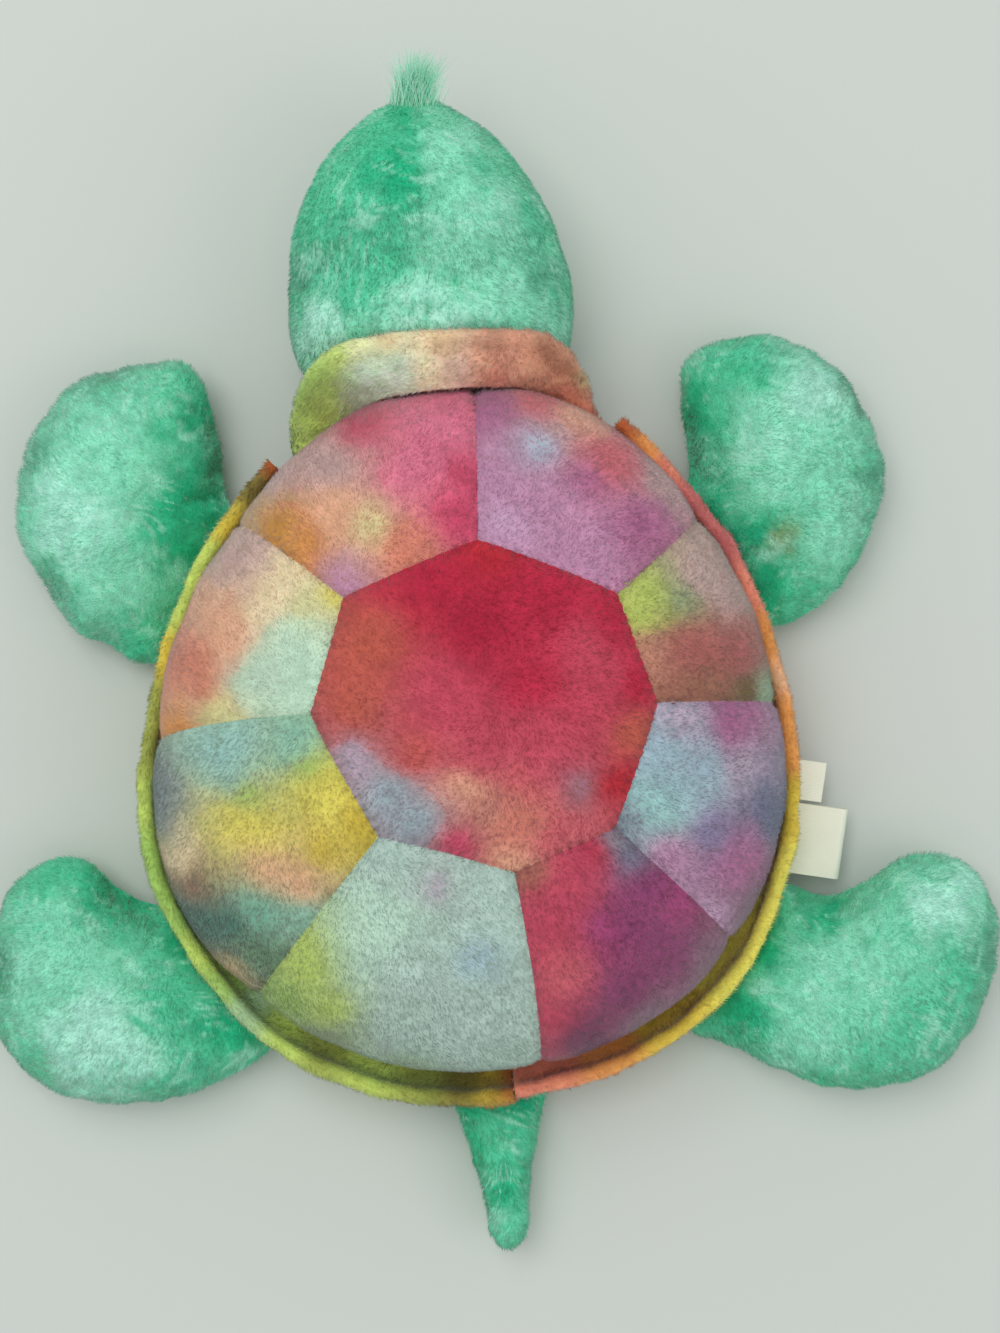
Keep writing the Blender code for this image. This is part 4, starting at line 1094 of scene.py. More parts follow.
def limb_sheet(shares, size, layer):
    """One cloth of a limb before it is filled, from its middle out to its seam, and its faces."""
    reach, span, swell, middle_share, taper_length = size
    seam = closed_line([(x * reach, y * span) for x, y in (*shares, *ROOT_SHARES)], LIMB_AROUND)
    middle = np.array([middle_share[0] * reach, middle_share[1] * span])
    lift = np.radians(np.linspace(88, 0, LIMB_RINGS))[:, None]
    flat = middle + (seam - middle)[None] * (np.cos(lift) ** 0.9)[..., None]
    flat[..., 0] = np.maximum(flat[..., 0], -LIMB_TUCK)
    bulge = np.sin(lift) ** 0.85
    height = LIMB_RISE * np.maximum(flat[..., 0], 0) - LIMB_ROOT_DROP
    taper = lerp(LIMB_ROOT_SHARE, 1.0, eased(flat[..., 0] / taper_length))
    full = swell * taper if layer > 0 else (GIRTH_HEIGHT + height - FLOOR_CLEAR) * taper
    height = height + layer * full * bulge
    return np.concatenate([flat, height[..., None]], -1).reshape(-1, 3)


def pillow_faces(rings, around):
    """Faces of an upper and a lower sheet, which share the last ring of points, their seam."""
    upper = grid_quads(rings, around, True)
    lower = upper + rings * around
    last = (rings - 1) * around
    lower = np.where(lower >= rings * around + last, lower - rings * around, lower)[:, ::-1]
    upper_cap = list(range(around))[::-1]
    lower_cap = list(range(rings * around, (rings + 1) * around))
    return [*upper.tolist(), upper_cap], [*lower.tolist(), lower_cap]


SIM_SCALE = 0.02
SIM_FRAMES = 20
LIMB_PRESSURE = 5.0
LIMB_LOOSENESS = 0.035
LIMB_MOST_MOVE = 5.0


def blown_up(covers, pressure, looseness, most_move):
    """Fills sewn covers, held at their pinned points, and gives where their cloth comes to rest."""
    scene = bpy.context.scene
    scene.frame_start, scene.frame_end = 1, SIM_FRAMES
    trials = {}
    for name, (points, faces, pinned) in covers.items():
        mesh = bpy.data.meshes.new(name + "_trial")
        mesh.from_pydata((points * SIM_SCALE).tolist(), [], [list(face) for face in faces])
        trial = bpy.data.objects.new(name + "_trial", mesh)
        scene.collection.objects.link(trial)
        group = trial.vertex_groups.new(name="held")
        group.add([int(number) for number in pinned], 1.0, "REPLACE")
        cloth = trial.modifiers.new("filling", "CLOTH")
        cloth.settings.quality = 6
        cloth.settings.mass = 0.3
        cloth.settings.tension_stiffness = 25
        cloth.settings.compression_stiffness = 25
        cloth.settings.bending_stiffness = 0.4
        cloth.settings.shrink_min = -looseness
        cloth.settings.use_pressure = True
        cloth.settings.uniform_pressure_force = pressure
        cloth.settings.vertex_group_mass = "held"
        cloth.settings.effector_weights.gravity = 0.0
        cloth.point_cache.frame_start = 1
        cloth.point_cache.frame_end = SIM_FRAMES
        trials[name] = trial
    for step in range(1, SIM_FRAMES + 1):
        scene.frame_set(step)
    graph = bpy.context.evaluated_depsgraph_get()
    rested = {}
    for name, trial in trials.items():
        start = covers[name][0]
        places = values_of(trial.evaluated_get(graph).data.vertices, "co")
        move = places / SIM_SCALE - start
        far = np.linalg.norm(move, axis=1, keepdims=True)
        rested[name] = start + move * np.minimum(1, most_move / np.maximum(far, 1e-9))
        bpy.data.objects.remove(trial, do_unlink=True)
    scene.frame_set(1)
    return rested


GROUND_WEIGHT = 0.35
FLECK_LENGTH = 3.2
FLECK_WIDTH = 0.9
FLECK_HEIGHT = 2.5
# Strength of the painted highlights and of the painted shade in the flecks
PAINTED_SHINE = 0.55
PAINTED_SHADE = 0.5


def crushed(points, splashes, seed, along):
    """Crushed mint plush with painted light: patches of painted nap light and shade, and short painted
    highlights and painted shade in flecks where the nap turns.
    """
    # Patches of painted nap light and shade over the mint's own mid tone, their edges run together
    soaked = points[:, :2] + 4.0 * cloudy_ways(points, 9, seed, 2)
    soaked = soaked + 2.2 * cloudy_ways(points, 3.2, seed + 4, 2)
    soaked = soaked + 0.8 * cloudy_ways(points, 1.1, seed + 6, 2)
    total = linear(MINTS["mid"]) * GROUND_WEIGHT * np.ones((len(points), 1))
    weight_sum = np.full((len(points), 1), GROUND_WEIGHT)
    for mint, right, forward, radius in splashes:
        gone = np.hypot(soaked[:, 0] - right, soaked[:, 1] - forward) / radius
        weight = (1 / (gone**2 + 0.3) ** 2.8)[:, None]
        total += weight * linear(MINTS[mint])
        weight_sum += weight
    colour = total / weight_sum
    # Painted highlights and painted shade in short flecks along the limb, where the nap turns to or
    # from the light
    turn = math.atan2(along[1], along[0]) + 0.5 * cloudy(points, 16, seed + 8)
    length = points[:, 0] * np.cos(turn) + points[:, 1] * np.sin(turn)
    width = points[:, 1] * np.cos(turn) - points[:, 0] * np.sin(turn)
    laid = [length / FLECK_LENGTH, width / FLECK_WIDTH, points[:, 2] / FLECK_HEIGHT]
    painted_light_and_shade_fleck = cloudy(np.stack(laid, -1), 1.0, seed + 9)
    patch = cloudy(points, 6, seed + 10)
    painted_shine = eased((painted_light_and_shade_fleck + 0.7 * patch - 0.25) / 0.6)[:, None]
    shade = eased((-painted_light_and_shade_fleck - 0.8 * patch - 0.45) / 0.6)[:, None]
    colour = lerp(colour, linear(MINTS["bright"]), PAINTED_SHINE * painted_shine)
    return lerp(colour, linear(MINTS["deep"]), PAINTED_SHADE * shade)


def cut_cloth(name, points, faces):
    """One cloth of a filled cover, smoothed once: the faces that are its own, with their points."""
    used, numbers = np.unique(np.concatenate([np.ravel(face) for face in faces]), return_inverse=True)
    split = np.split(numbers, np.cumsum([len(face) for face in faces])[:-1])
    blank = np.zeros((len(used), 3))
    cover = new_object(name, points[used], split, {"dye": blank, "rest": blank})
    finer = cover.modifiers.new("finer", "SUBSURF")
    finer.levels = 1
    finer.render_levels = 1
    settle(cover)
    return cover


def finish_cloth(cover, places, lowest, splashes, seed, along):
    """Lays a cloth at its places, none below the lowest, colours it with its painted nap light and
    shade, and gives it its thickness.
    """
    places[:, 2] = np.maximum(places[:, 2], lowest)
    colours = crushed(places, splashes, seed, along)
    rgba = np.concatenate([colours, np.ones((len(places), 1))], 1)
    cover.data.vertices.foreach_set("co", (places * MM).ravel())
    cover.data.color_attributes["dye"].data.foreach_set("color", rgba.ravel())
    cover.data.attributes["rest"].data.foreach_set("vector", (places * MM).ravel())
    outside = line_cloth(cover)
    cover.data.materials.append(crushed_mint)
    return outside


crushed_mint = plush_material("crushed_mint_plush", weave=2300.0, roughness=0.7, painted_gap_shade=0.7)
fibre_material = plush_material("polyester_fibre", weave=900.0, roughness=0.95, painted_gap_shade=0.8)


FIBRE_WHITE = (232, 232, 228)
FIBRE_DROP = 1.5
FIBRE_REACH = 0.84
FIBRE_SPAN = 0.8
TAIL_FIBRE_SPAN = 0.62
FIBRE_HEIGHT = 0.55


def filled(name, points, faces, body_calls, node):
    """The loose fibre inside a cover."""
    white = np.tile(linear(FIBRE_WHITE), (len(points), 1))
    piece = new_object(name, points, faces, {"dye": white, "rest": points * MM})
    piece.data.materials.append(fibre_material)
    body_calls(piece)
    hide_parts(node)
    return piece


upper_faces, lower_faces = pillow_faces(LIMB_RINGS, LIMB_AROUND)
upper_count = LIMB_RINGS * LIMB_AROUND
limb_covers = {}
for seed, (limb_name, (angle, ahead, size, shares, splashes)) in enumerate(LIMBS.items()):
    upper = limb_sheet(shares, size, 1)
    lower = limb_sheet(shares, size, -1)[: upper_count - LIMB_AROUND]
    points = np.concatenate([upper, lower])
    points += 0.25 * cloudy_ways(points, 5, 500 + seed)
    pinned = np.flatnonzero(points[:, 0] < LIMB_HELD)
    pinned = np.union1d(pinned, np.arange(upper_count - LIMB_AROUND, upper_count))
    limb_covers[limb_name] = (points, upper_faces + lower_faces, pinned)
limb_rest = blown_up(limb_covers, LIMB_PRESSURE, LIMB_LOOSENESS, LIMB_MOST_MOVE)

for seed, (limb_name, (angle, ahead, size, shares, splashes)) in enumerate(LIMBS.items()):
    hinge, out = limb_frame(angle)
    beside = np.array([-out[1], out[0]]) * ahead

    def placed(local):
        flat = hinge + local[:, :1] * out + local[:, 1:2] * beside
        return np.column_stack([flat, np.maximum(GIRTH_HEIGHT + local[:, 2], FLOOR_CLEAR)])

    def carry(piece):
        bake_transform(piece)

    rested = placed(limb_rest[limb_name])
    flip = ahead < 0
    for layer, layer_faces in (("upper", upper_faces), ("lower", lower_faces)):
        faces = [face[::-1] if flip else face for face in layer_faces]
        cover = cut_cloth(f"{limb_name}_{layer}_cloth", rested, faces)
        places = values_of(cover.data.vertices, "co") / MM
        relief = 0.30 * cloudy(places, 5, 520 + seed) + 0.16 * cloudy(places, 2.2, 530 + seed)
        places = places + values_of(cover.data.vertices, "normal") * relief[:, None]
        outside = finish_cloth(cover, places, FLOOR_CLEAR - 0.3, splashes, 540 + 20 * seed, out)

        def combed(points, up):
            return np.column_stack([np.tile(out, (len(points), 1)), np.full(len(points), -0.3)])

        density = 3.0 if layer == "upper" else 1.3
        nap = pile(cover, outside, density, 1.3, 0.24, combed, 12, 560 + seed, lively=0.13)
        for piece in (cover, nap):
            carry(piece)
            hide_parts(f"{limb_name}_{layer}")
    reach, span, swell, middle_share, taper_length = size
    core = np.array([middle_share[0] * reach, middle_share[1] * span, -FIBRE_DROP])
    fibre_span = TAIL_FIBRE_SPAN if limb_name == "tail" else FIBRE_SPAN
    inner = core + (limb_rest[limb_name] - core) * [FIBRE_REACH, fibre_span, FIBRE_HEIGHT]
    whole = [face[::-1] if flip else face for face in upper_faces + lower_faces]
    filled(limb_name + "_fibre", placed(inner), whole, carry, limb_name + "_stuffing")

# The head is two pieces of the same plush, left and right, sewn along the middle from the nose to
# the neck and stuffed full. Its rear goes in under the collar.

NECK_PIVOT = np.array([HEAD_RIGHT, 96.9, 21.5])
NECK_RADIUS = 19.5
NECK_HALF_WIDTH = 27.0
NECK_FULLNESS = 5.5
NECK_CUT = 12.0
NECK_HELD = 82.0
HEAD_LENGTH = 42.5
HEAD_HALF_WIDTH = 30.4
HEAD_HALF_HEIGHT = 24.7
HEAD_REAR_SHARE = 0.27
HEAD_CROWN_SHARE = 0.38
HEAD_LIFT = 3.7
NOSE_LIFT = 1.7
HEAD_SQUARENESS = 2.2
HEAD_LEAN = 3.0
HEAD_CORE_LENGTH = 22.0
HEAD_AROUND = 128
HEAD_PRESSURE = 3.0
HEAD_LOOSENESS = 0.03
HEAD_MOST_MOVE = 1.8
HEAD_FIBRE_MIDDLE = np.array([-9.0, 104.0, 23.0])
HEAD_FIBRE_SHARE = 0.88
# Painted nap light and shade of the head, over its mid mint: which tone, place to the right and
# forward, and the radius of the patch
HEAD_NAP_LIGHT_AND_SHADE = (
    ("deep", -16, 118, 9), ("mid", -27, 112, 9), ("mid", -22, 100, 9), ("light", 3, 112, 11),
    ("light", 7, 96, 10), ("grey", 15, 101, 4), ("bright", -8, 90, 9), ("bright", -30, 88, 8),
    ("mid", 16, 116, 6), ("light", -6, 128, 8), ("mid", -26, 126, 7), ("grey", -38, 104, 4),
    ("light", 18, 90, 6), ("deep", -13, 132, 5),
)


def head_points_at(share, angle):
    """Points of the head. The share goes from its rear to its nose, the angle round over its top."""
    share, angle = np.broadcast_arrays(np.asarray(share, float), np.asarray(angle, float))
    is_rear = share <= HEAD_REAR_SHARE
    rear = np.clip(share / HEAD_REAR_SHARE, 0, 1)
    behind = np.radians(lerp(NECK_CUT, 90, rear))
    ahead = np.clip((share - HEAD_REAR_SHARE) / (1 - HEAD_REAR_SHARE), 0, 1)
    front = np.sin(np.radians(90 * ahead))
    neck_width = lerp(NECK_HALF_WIDTH, HEAD_HALF_WIDTH, eased(rear))
    width = np.where(is_rear, neck_width, HEAD_HALF_WIDTH * np.maximum(1 - front**1.7, 0) ** 0.57)
    growth = eased(front / HEAD_CROWN_SHARE)
    past = np.clip((front - HEAD_CROWN_SHARE) / (1 - HEAD_CROWN_SHARE), 0, 1)
    growing = front < HEAD_CROWN_SHARE
    brow = HEAD_HALF_HEIGHT * (1 - past**HEAD_SQUARENESS) ** (1 / HEAD_SQUARENESS)
    height = np.where(growing, lerp(NECK_RADIUS, HEAD_HALF_HEIGHT, growth), brow)
    height = np.where(is_rear, NECK_RADIUS * np.sin(behind), height)
    rise = np.where(growing, HEAD_LIFT * growth, lerp(HEAD_LIFT, NOSE_LIFT, eased(past)))
    rise = np.where(is_rear, 0, rise)
    forward = np.where(is_rear, -NECK_RADIUS * np.cos(behind), HEAD_LENGTH * front)
    turn = np.radians(angle)
    across = np.sign(np.cos(turn)) * np.abs(np.cos(turn)) ** (2 / HEAD_SQUARENESS)
    up = np.sign(np.sin(turn)) * np.abs(np.sin(turn)) ** (2 / HEAD_SQUARENESS)
    fuller = NECK_FULLNESS * bell(forward + 9, 10) * np.maximum(up, 0)
    return NECK_PIVOT + np.stack(
        [width * across - HEAD_LEAN * front, forward, rise + height * up + fuller], -1
    )


def carry_head(piece):
    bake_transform(piece)


head_shares = np.concatenate([np.linspace(0, 0.25, 12), np.linspace(HEAD_REAR_SHARE, 0.985, 40)])
head_angles = np.linspace(0, 360, HEAD_AROUND, endpoint=False)
head_start = head_points_at(head_shares[:, None], head_angles[None]).reshape(-1, 3)
head_start += 0.2 * cloudy_ways(head_start, 6, 600)
head_quads = grid_quads(len(head_shares), HEAD_AROUND, True)[:, ::-1]
last_ring = (len(head_shares) - 1) * HEAD_AROUND
quarter_round = HEAD_AROUND // 4
left_columns = np.arange(quarter_round, 3 * quarter_round + 1)
right_columns = np.concatenate([left_columns[-1:], np.arange(3 * quarter_round + 1, HEAD_AROUND)])
right_columns = np.concatenate([right_columns, np.arange(0, quarter_round + 1)])
nose_left = (last_ring + left_columns)[::-1].tolist()
nose_right = (last_ring + right_columns)[::-1].tolist()
neck_ring = list(range(HEAD_AROUND))
head_faces = [*head_quads, nose_left, nose_right, neck_ring]
head_held = np.flatnonzero(head_start[:, 1] < NECK_HELD)
head_cover = {"head": (head_start, head_faces, head_held)}
head_rest = blown_up(head_cover, HEAD_PRESSURE, HEAD_LOOSENESS, HEAD_MOST_MOVE)["head"]

# The cloth is drawn in a little where each eye is pressed to it. An eye's ring is counted from the
# neck, and its column round the head from the turtle's right side.
EYE_RING = 38
EYE_COLUMNS = {"left": 73, "right": 119}
EYE_SINK = 0.9
EYE_DIMPLE = 5.0
head_out = surface_normals(head_rest, head_quads)
eye_seats = {
    side: (head_rest[EYE_RING * HEAD_AROUND + column], head_out[EYE_RING * HEAD_AROUND + column])
    for side, column in EYE_COLUMNS.items()
}

head_inner = HEAD_FIBRE_MIDDLE + (head_rest - HEAD_FIBRE_MIDDLE) * HEAD_FIBRE_SHARE
filled("head_fibre", head_inner, head_faces, carry_head, "head_stuffing")
column_of_quad = np.arange(len(head_quads)) % HEAD_AROUND
on_left = (column_of_quad >= quarter_round) & (column_of_quad < 3 * quarter_round)
for seed, (side, chosen, nose) in enumerate(
    (("left", on_left, nose_left), ("right", ~on_left, nose_right))
):
    faces = [*head_quads[chosen].tolist(), nose]
    cover = cut_cloth(f"head_cover_{side}_cloth", head_rest, faces)
    places = values_of(cover.data.vertices, "co") / MM
    seam_right = NECK_PIVOT[0] - HEAD_LEAN * np.maximum(places[:, 1] - NECK_PIVOT[1], 0) / HEAD_LENGTH
    to_seam = np.abs(places[:, 0] - seam_right)
    relief = 0.35 * cloudy(places, 7, 620) + 0.16 * cloudy(places, 2.4, 630)
    relief -= 0.4 * bell(to_seam, 1.0) - 0.2 * bell(to_seam, 5.0)
    for eye_place, eye_out in eye_seats.values():
        relief -= EYE_SINK * bell(np.linalg.norm(places - eye_place, axis=1), EYE_DIMPLE)
    along_core = np.clip((places[:, 1] - NECK_PIVOT[1]) / HEAD_CORE_LENGTH, 0, 1)[:, None]
    swell = places - (NECK_PIVOT + along_core * [-2.0, HEAD_CORE_LENGTH, 2.0])
    swell /= np.linalg.norm(swell, axis=1, keepdims=True)
    places = places + swell * relief[:, None]
    outside = finish_cloth(cover, places, FLOOR_CLEAR - 0.4, HEAD_NAP_LIGHT_AND_SHADE, 640, (0.2, 1.0))

    def combed_back(points, up):
        return np.tile((0.1, -1.0, 0.0), (len(points), 1))

    nap = pile(cover, outside, 3.0, 1.2, 0.22, combed_back, 12, 660 + seed, lively=0.13)
    for piece in (cover, nap):
        carry_head(piece)
        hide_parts("head_cover_" + side)

# The tuft is long loose hair of the same mint, knotted in at the top of the nose. Its hairs fan out
# forward over the nose, thin to their tips and curl a little.

HAIR_COUNT = 1300
HAIR_LENGTH = 15.5
HAIR_SHORTEST_SHARE = 0.3
HAIR_SIDE_SHORTER = 0.22
HAIR_WIDTH = 0.13
HAIR_TIP = 0.012
HAIR_RINGS = 7
HAIR_ROOT_SHARE = 0.845
HAIR_ROOT_ANGLE = 96
HAIR_ROOT_MIDDLE = -12
HAIR_FAN = 0.22
HAIR_CURL = 0.3
HAIR_WAVE = 0.35
HAIR_SHADES = ((120, 216, 176), (146, 228, 194), (170, 236, 208), (194, 243, 222), (212, 247, 232))

rng = np.random.default_rng(71)
spread = rng.normal(0, 1, (HAIR_COUNT, 2)).clip(-2.2, 2.2)
root_share = HAIR_ROOT_SHARE + 0.022 * spread[:, 0]
hair_root = head_points_at(root_share, HAIR_ROOT_ANGLE + 17 * spread[:, 1]) - [0, 0.8, 0.4]
fan = HAIR_FAN * rng.normal(0, 1, HAIR_COUNT) - 0.03 * (hair_root[:, 0] - HAIR_ROOT_MIDDLE) + 0.06
rising = 0.12 + 0.30 * rng.random(HAIR_COUNT)
hair_way = np.stack([fan, np.ones(HAIR_COUNT), rising], -1)
hair_way /= np.linalg.norm(hair_way, axis=1, keepdims=True)
hair_long = HAIR_LENGTH * rng.uniform(HAIR_SHORTEST_SHARE, 1.0, HAIR_COUNT)
hair_long *= 1 - HAIR_SIDE_SHORTER * np.abs(spread[:, 1])
curl_right = 0.30 + 0.5 * rng.normal(0, 1, HAIR_COUNT)
curl_up = 0.25 * rng.normal(0, 1, HAIR_COUNT)
curl = np.stack([curl_right, np.full(HAIR_COUNT, -0.15), curl_up], -1)
hair_rings = []
for step in np.linspace(0, 1, HAIR_RINGS):
    line = hair_root + hair_long[:, None] * (hair_way * step + HAIR_CURL * curl * step**2)
    line = line + HAIR_WAVE * cloudy_ways(line, 3.5, 700) * step
    thin = HAIR_WIDTH / 2 * (1 - step) ** 0.7 + HAIR_TIP
    for turn in np.radians((0, 120, 240)):
        hair_rings.append(line + thin * np.array([math.cos(turn), 0, math.sin(turn)]))
hair_points = np.stack(hair_rings, 1).reshape(-1, 3)
strand_faces = []
for ring in range(HAIR_RINGS - 1):
    for side in range(3):
        low, after = ring * 3 + side, ring * 3 + (side + 1) % 3
        strand_faces.append((low, after, after + 3, low + 3))
hair_faces = np.arange(HAIR_COUNT)[:, None, None] * HAIR_RINGS * 3 + np.array(strand_faces)
hair_mesh = bpy.data.meshes.new("hair_tuft_strands")
hair_mesh.from_pydata((hair_points * MM).tolist(), [], hair_faces.reshape(-1, 4).tolist())
for material in nap_materials("hair_tuft", [linear(shade) for shade in HAIR_SHADES]):
    hair_mesh.materials.append(material)
hair_shade = rng.integers(0, len(HAIR_SHADES), HAIR_COUNT)
hair_mesh.polygons.foreach_set("material_index", np.repeat(hair_shade, len(strand_faces)))
hair = bpy.data.objects.new("hair_tuft_strands", hair_mesh)
bpy.context.scene.collection.objects.link(hair)
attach(hair, "head")
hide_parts("hair_tuft")

# The eyes are domed caps of black plastic, moulded in one with a shank that goes in through the
# plush. A washer of white plastic, pushed on to the shank, holds each one from inside.


def plastic_material(name, colour, roughness, scuff):
    """Moulded plastic, with fine scuffs a little lighter and darker than the rest."""
    material, nodes, link = new_finish(name, Roughness=roughness)
    place = nodes.new("ShaderNodeTexCoord")
    scuffs = grain(nodes, "ShaderNodeTexNoise", Scale=900.0)
    link(place.outputs["Object"], scuffs.inputs["Vector"])
    base = shaded_by(nodes, link, scuffs.outputs["Fac"], (0, 1), (1 - scuff, 1 + scuff))
    base.default_value = (*linear(colour), 1.0)
    return material


eye_black = plastic_material("glossy_black_plastic_grain", (16, 15, 15), 0.1, 0.3)
washer_white = plastic_material("white_plastic_grain", (228, 228, 224), 0.45, 0.04)
EYE_RADIUS = 4.2
EYE_HEIGHT = 2.6
EYE_BRIM = 0.4
EYE_UNDERSIDE = 0.1
SHANK_RADIUS = 1.4
SHANK_LENGTH = 6.5
WASHER_BORE = 1.6
WASHER_RADIUS = 3.6
WASHER_TOP = -1.9
WASHER_BOTTOM = -2.9
TURNED_AROUND = 48


def turned(name, profile, place, outward, ring=False):
    """A piece turned about an axis that stands on the cloth, from pairs of radius and height."""
    across = np.cross(outward, (0.0, 0.0, 1.0))
    across /= np.linalg.norm(across)
    above = np.cross(outward, across)
    turn = np.radians(np.linspace(0, 360, TURNED_AROUND, endpoint=False))[None, :, None]
    radius, height = np.asarray(profile, float).T[..., None, None]
    points = radius * (across * np.cos(turn) + above * np.sin(turn)) + height * outward
    points = points.reshape(-1, 3)
    rows = len(profile) + 1 if ring else len(profile)
    quads = grid_quads(rows, TURNED_AROUND, True) % len(points)
    corners = points[quads]
    volume = (corners[:, 0] * np.cross(corners[:, 1], corners[:, 2])).sum()
    volume += (corners[:, 0] * np.cross(corners[:, 2], corners[:, 3])).sum()
    faces = quads.tolist()
    if not ring:
        faces.append(list(range(TURNED_AROUND))[::-1])
        faces.append(list(range(len(points) - TURNED_AROUND, len(points))))
    if volume < 0:
        faces = [face[::-1] for face in faces]
    piece = new_object(name, place + points, faces, {})
    piece.data.set_sharp_from_angle(angle=math.radians(CUT_EDGE))
    return piece


dome_turn = np.radians(np.linspace(3, 90, 14))
eye_profile = [
    (EYE_RADIUS * math.sin(turn), EYE_BRIM + (EYE_HEIGHT - EYE_BRIM) * math.cos(turn))
    for turn in dome_turn
]
eye_profile += [
    (EYE_RADIUS, EYE_UNDERSIDE),
    (SHANK_RADIUS, EYE_UNDERSIDE),
    (SHANK_RADIUS, -SHANK_LENGTH),
]
washer_profile = [
    (WASHER_BORE, WASHER_TOP),
    (WASHER_RADIUS, WASHER_TOP),
    (WASHER_RADIUS, WASHER_BOTTOM),
    (WASHER_BORE, WASHER_BOTTOM),
]
for side, (eye_place, eye_out) in eye_seats.items():
    seat = eye_place - eye_out * EYE_SINK
    eye = turned(f"eye_{side}_cap", eye_profile, seat, eye_out)
    eye.data.materials.append(eye_black)
    washer = turned(f"eye_washer_{side}_ring", washer_profile, seat, eye_out, ring=True)
    washer.data.materials.append(washer_white)
    for piece, node, slot in (
        (eye, "eye_" + side, "glossy_black_plastic"),
        (washer, "eye_washer_" + side, "white_plastic"),
    ):
        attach(piece, "head")
        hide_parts(node)

# The care tag is white satin ribbon, sewn in under the rim: a loop folded over on itself, and a
# short leaf ahead of it. Both hang loose from the seam.

TAG_ANGLE = 346.5
TAG_SLIDE = 4.2
RIBBON = 0.4
LOOP_WIDTH = 16.0
LOOP_REACH = 19.5
LOOP_ROLL = 1.8
LOOP_DROP = 0.8
LEAF_WIDTH = 9.0
LEAF_REACH = 13.0
LEAF_DROP = 0.4
LEAF_DROOP = 1.5
LOOP_TO_LEAF = 0.8
SATIN_WHITE = (246, 248, 230)


def satin_material(name):
    """White satin: a fine weave of threads, shiny along them."""
    material, nodes, link = new_finish(
        name, Roughness=0.38, Specular_IOR_Level=0.5, Sheen_Weight=0.1
    )
    rest = kept_value(nodes, "rest")
    threads = grain(nodes, "ShaderNodeTexWave", Scale=900.0, Distortion=0.6)
    threads.bands_direction = "Y"
    cloud = grain(nodes, "ShaderNodeTexNoise", Scale=160.0)
    both = nodes.new("ShaderNodeMath")
    both.operation = "ADD"
    link(rest, threads.inputs["Vector"])
    link(rest, cloud.inputs["Vector"])
    link(threads.outputs["Fac"], both.inputs[0])
    link(cloud.outputs["Fac"], both.inputs[1])
    base = shaded_by(nodes, link, both.outputs["Value"], (0, 2), (0.88, 1.03))
    base.default_value = (*linear(SATIN_WHITE), 1.0)
    embossed_by(nodes, link, threads.outputs["Fac"], 0.35, 0.0001)
    return material


satin = satin_material("white_satin_weave")
tag_hinge, tag_out = limb_frame(TAG_ANGLE)
tag_beside = np.array([-tag_out[1], tag_out[0]])
loop_straight = LOOP_REACH - LOOP_ROLL
loop_length = 2 * loop_straight + math.pi * LOOP_ROLL
loop_walk = np.linspace(0, loop_length, 96)[:, None]
loop_turn = np.clip((loop_walk - loop_straight) / LOOP_ROLL, 0, math.pi)
loop_back = np.maximum(loop_walk - loop_straight - math.pi * LOOP_ROLL, 0)
loop_out = np.minimum(loop_walk, loop_straight) + LOOP_ROLL * np.sin(loop_turn) - loop_back
loop_up = -LOOP_DROP - 2 * LOOP_ROLL + LOOP_ROLL * (1 - np.cos(loop_turn))
loop_edge = -LOOP_WIDTH / 2 - 0.5
leaf_out = np.linspace(0, LEAF_REACH, 40)[:, None]
leaf_up = -LEAF_DROP - LEAF_DROOP * (leaf_out / LEAF_REACH) ** 2
leaf_edge = loop_edge + LOOP_WIDTH + LOOP_TO_LEAF
for ribbon_name, out, up, low_edge, width, flat_length in (
    ("care_tag_loop", loop_out, loop_up, loop_edge, LOOP_WIDTH, loop_length),
    ("care_tag_leaf", leaf_out, leaf_up, leaf_edge, LEAF_WIDTH, LEAF_REACH),
):
    beside = low_edge + width * np.linspace(0, 1, 24)[None]
    out, up, beside = np.broadcast_arrays(out, up, beside)
    rows, columns = out.shape
    flat = tag_hinge + out[..., None] * tag_out + (beside - TAG_SLIDE)[..., None] * tag_beside
    ribbon_points = np.concatenate([flat, (GIRTH_HEIGHT + up)[..., None]], -1).reshape(-1, 3)
    crumple = 0.45 * cloudy(ribbon_points, 8, 801) + 0.15 * cloudy(ribbon_points, 3, 802)
    ribbon_points[:, 2] += crumple * eased(out.ravel() / 6)
    white = np.ones((len(ribbon_points), 3))
    walked = np.broadcast_to(np.linspace(0, flat_length, rows)[:, None], out.shape).ravel()
    woven = np.stack([walked, beside.ravel(), 0 * walked], -1) * MM
    ribbon = new_object(
        ribbon_name + "_ribbon", ribbon_points, grid_quads(rows, columns), {"dye": white, "rest": woven}
    )
    line_cloth(ribbon, RIBBON)
    ribbon.data.materials.append(satin)
    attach(ribbon, "care_tag")
    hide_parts(ribbon_name)

# Inside, loose fibre fills the shell. It lies round a flat cloth pouch of pellets, which rests on
# the belly and gives the toy its weight.

STUFFING_DEPTH = 2.8
STUFFING_ROWS = 30
STUFFING_LOW_ROWS = 12
INSIDE_AROUND = 96
POUCH_HALF_WIDTH = 34.0
POUCH_HALF_LENGTH = 40.0
POUCH_MIDDLE = 4.9
POUCH_HALF_HEIGHT = 3.5
POUCH_ROWS = 30
POUCH_WHITE = (222, 221, 214)
PELLET_BUMP = 0.25
PELLET_TURN = 2.1


def closed_faces(rows):
    """Faces of a closed skin of rows of points, with one face over each of its ends."""
    last = (rows - 1) * INSIDE_AROUND
    faces = [list(quad) for quad in grid_quads(rows, INSIDE_AROUND, True)[:, ::-1]]
    faces.append(list(range(INSIDE_AROUND)))
    faces.append([last + number for number in range(INSIDE_AROUND)][::-1])
    return faces


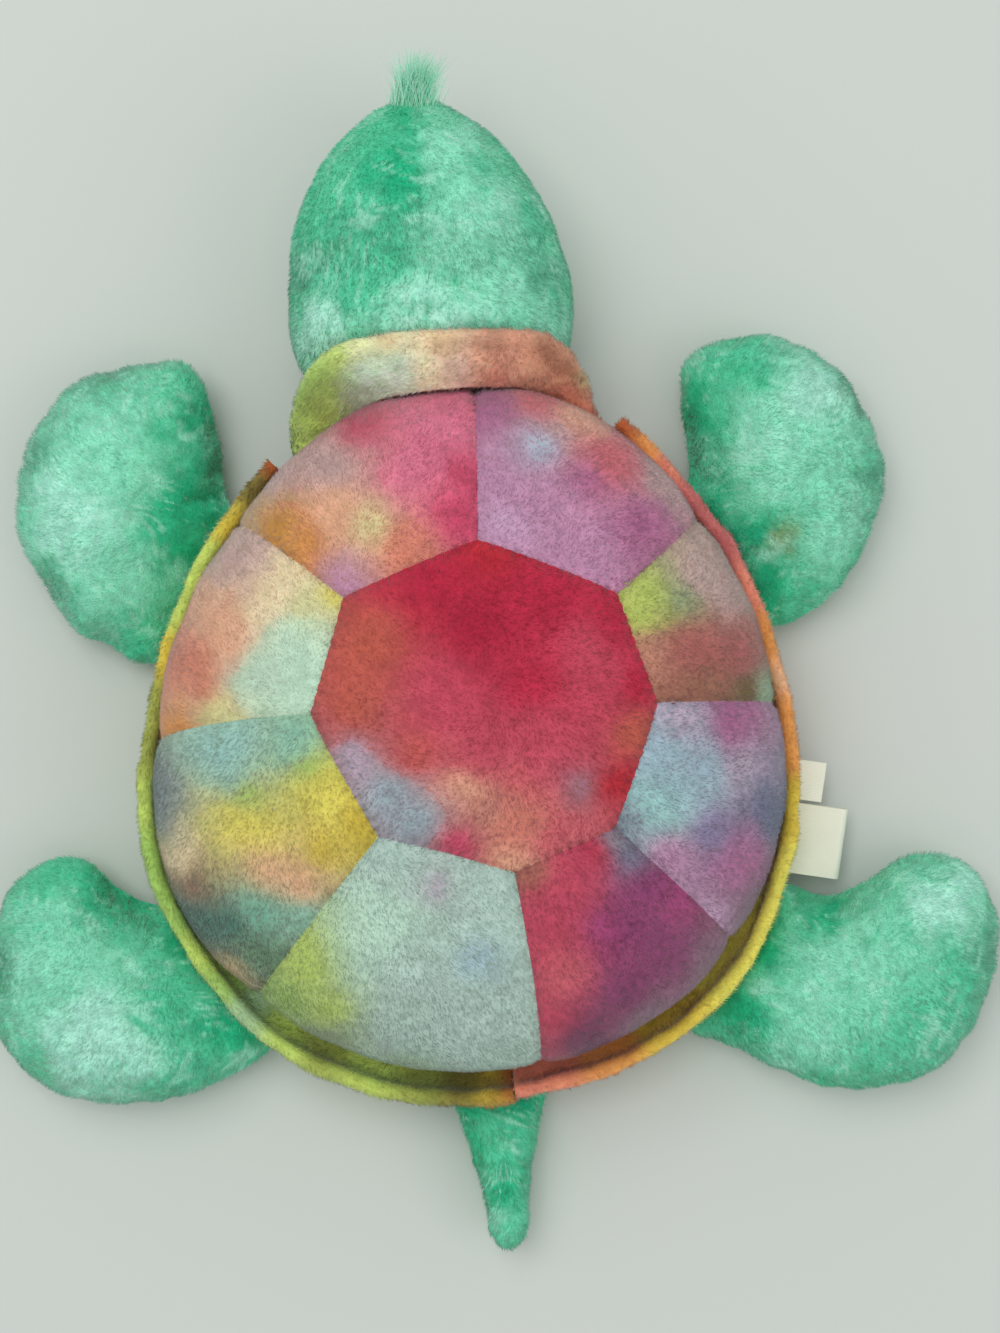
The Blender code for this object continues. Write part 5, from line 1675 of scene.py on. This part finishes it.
stuffing_angle = np.linspace(0, 360, INSIDE_AROUND, endpoint=False)
stuffing_rows = [
    dome(stuffing_angle, fall, STUFFING_DEPTH) for fall in np.linspace(0.03, 1, STUFFING_ROWS)
]
stuffing_floor = CLOTH + FLOOR_CLEAR
for turn in np.radians(np.linspace(6, 88, STUFFING_LOW_ROWS)):
    tuck = (CLOTH + BELLY_ROUND) * (1 - math.cos(turn))
    flat = APEX + (outline(stuffing_angle, -STUFFING_DEPTH - tuck) - APEX) * math.cos(turn) ** 0.5
    height = np.full(len(flat), lerp(SHELL_WAIST, stuffing_floor, math.sin(turn) ** 0.8))
    stuffing_rows.append(np.column_stack([flat, height]))
stuffing_points = np.concatenate(stuffing_rows)
stuffing_faces = closed_faces(len(stuffing_rows))


def carry_torso(piece):
    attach(piece, "torso")


filled("shell_fibre", stuffing_points, stuffing_faces, carry_torso, "shell_stuffing")

pouch_lift = np.radians(np.linspace(88, -88, POUCH_ROWS))[:, None]
pouch_around = np.radians(stuffing_angle)[None]
pouch_out = np.cos(pouch_lift) ** 0.8
pouch_swell = np.sign(np.sin(pouch_lift)) * np.abs(np.sin(pouch_lift)) ** 0.8
pouch_height = POUCH_MIDDLE + POUCH_HALF_HEIGHT * pouch_swell
pouch_points = np.stack(
    [
        POUCH_HALF_WIDTH * pouch_out * np.cos(pouch_around),
        POUCH_HALF_LENGTH * pouch_out * np.sin(pouch_around),
        np.broadcast_to(pouch_height, (POUCH_ROWS, INSIDE_AROUND)),
    ],
    -1,
).reshape(-1, 3)
pouch_points[:, 2] += PELLET_BUMP * np.prod(np.sin(pouch_points[:, :2] * PELLET_TURN), axis=1)
pouch_kept = {
    "dye": np.tile(linear(POUCH_WHITE), (len(pouch_points), 1)),
    "rest": pouch_points * MM,
}
pouch = new_object("pellet_pouch_cloth", pouch_points, closed_faces(POUCH_ROWS), pouch_kept)
pouch.data.materials.append(plush_material("pellet_bag_weave", 3200.0, 0.85, 0.85))
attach(pouch, "torso")
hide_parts("pellet_pouch")
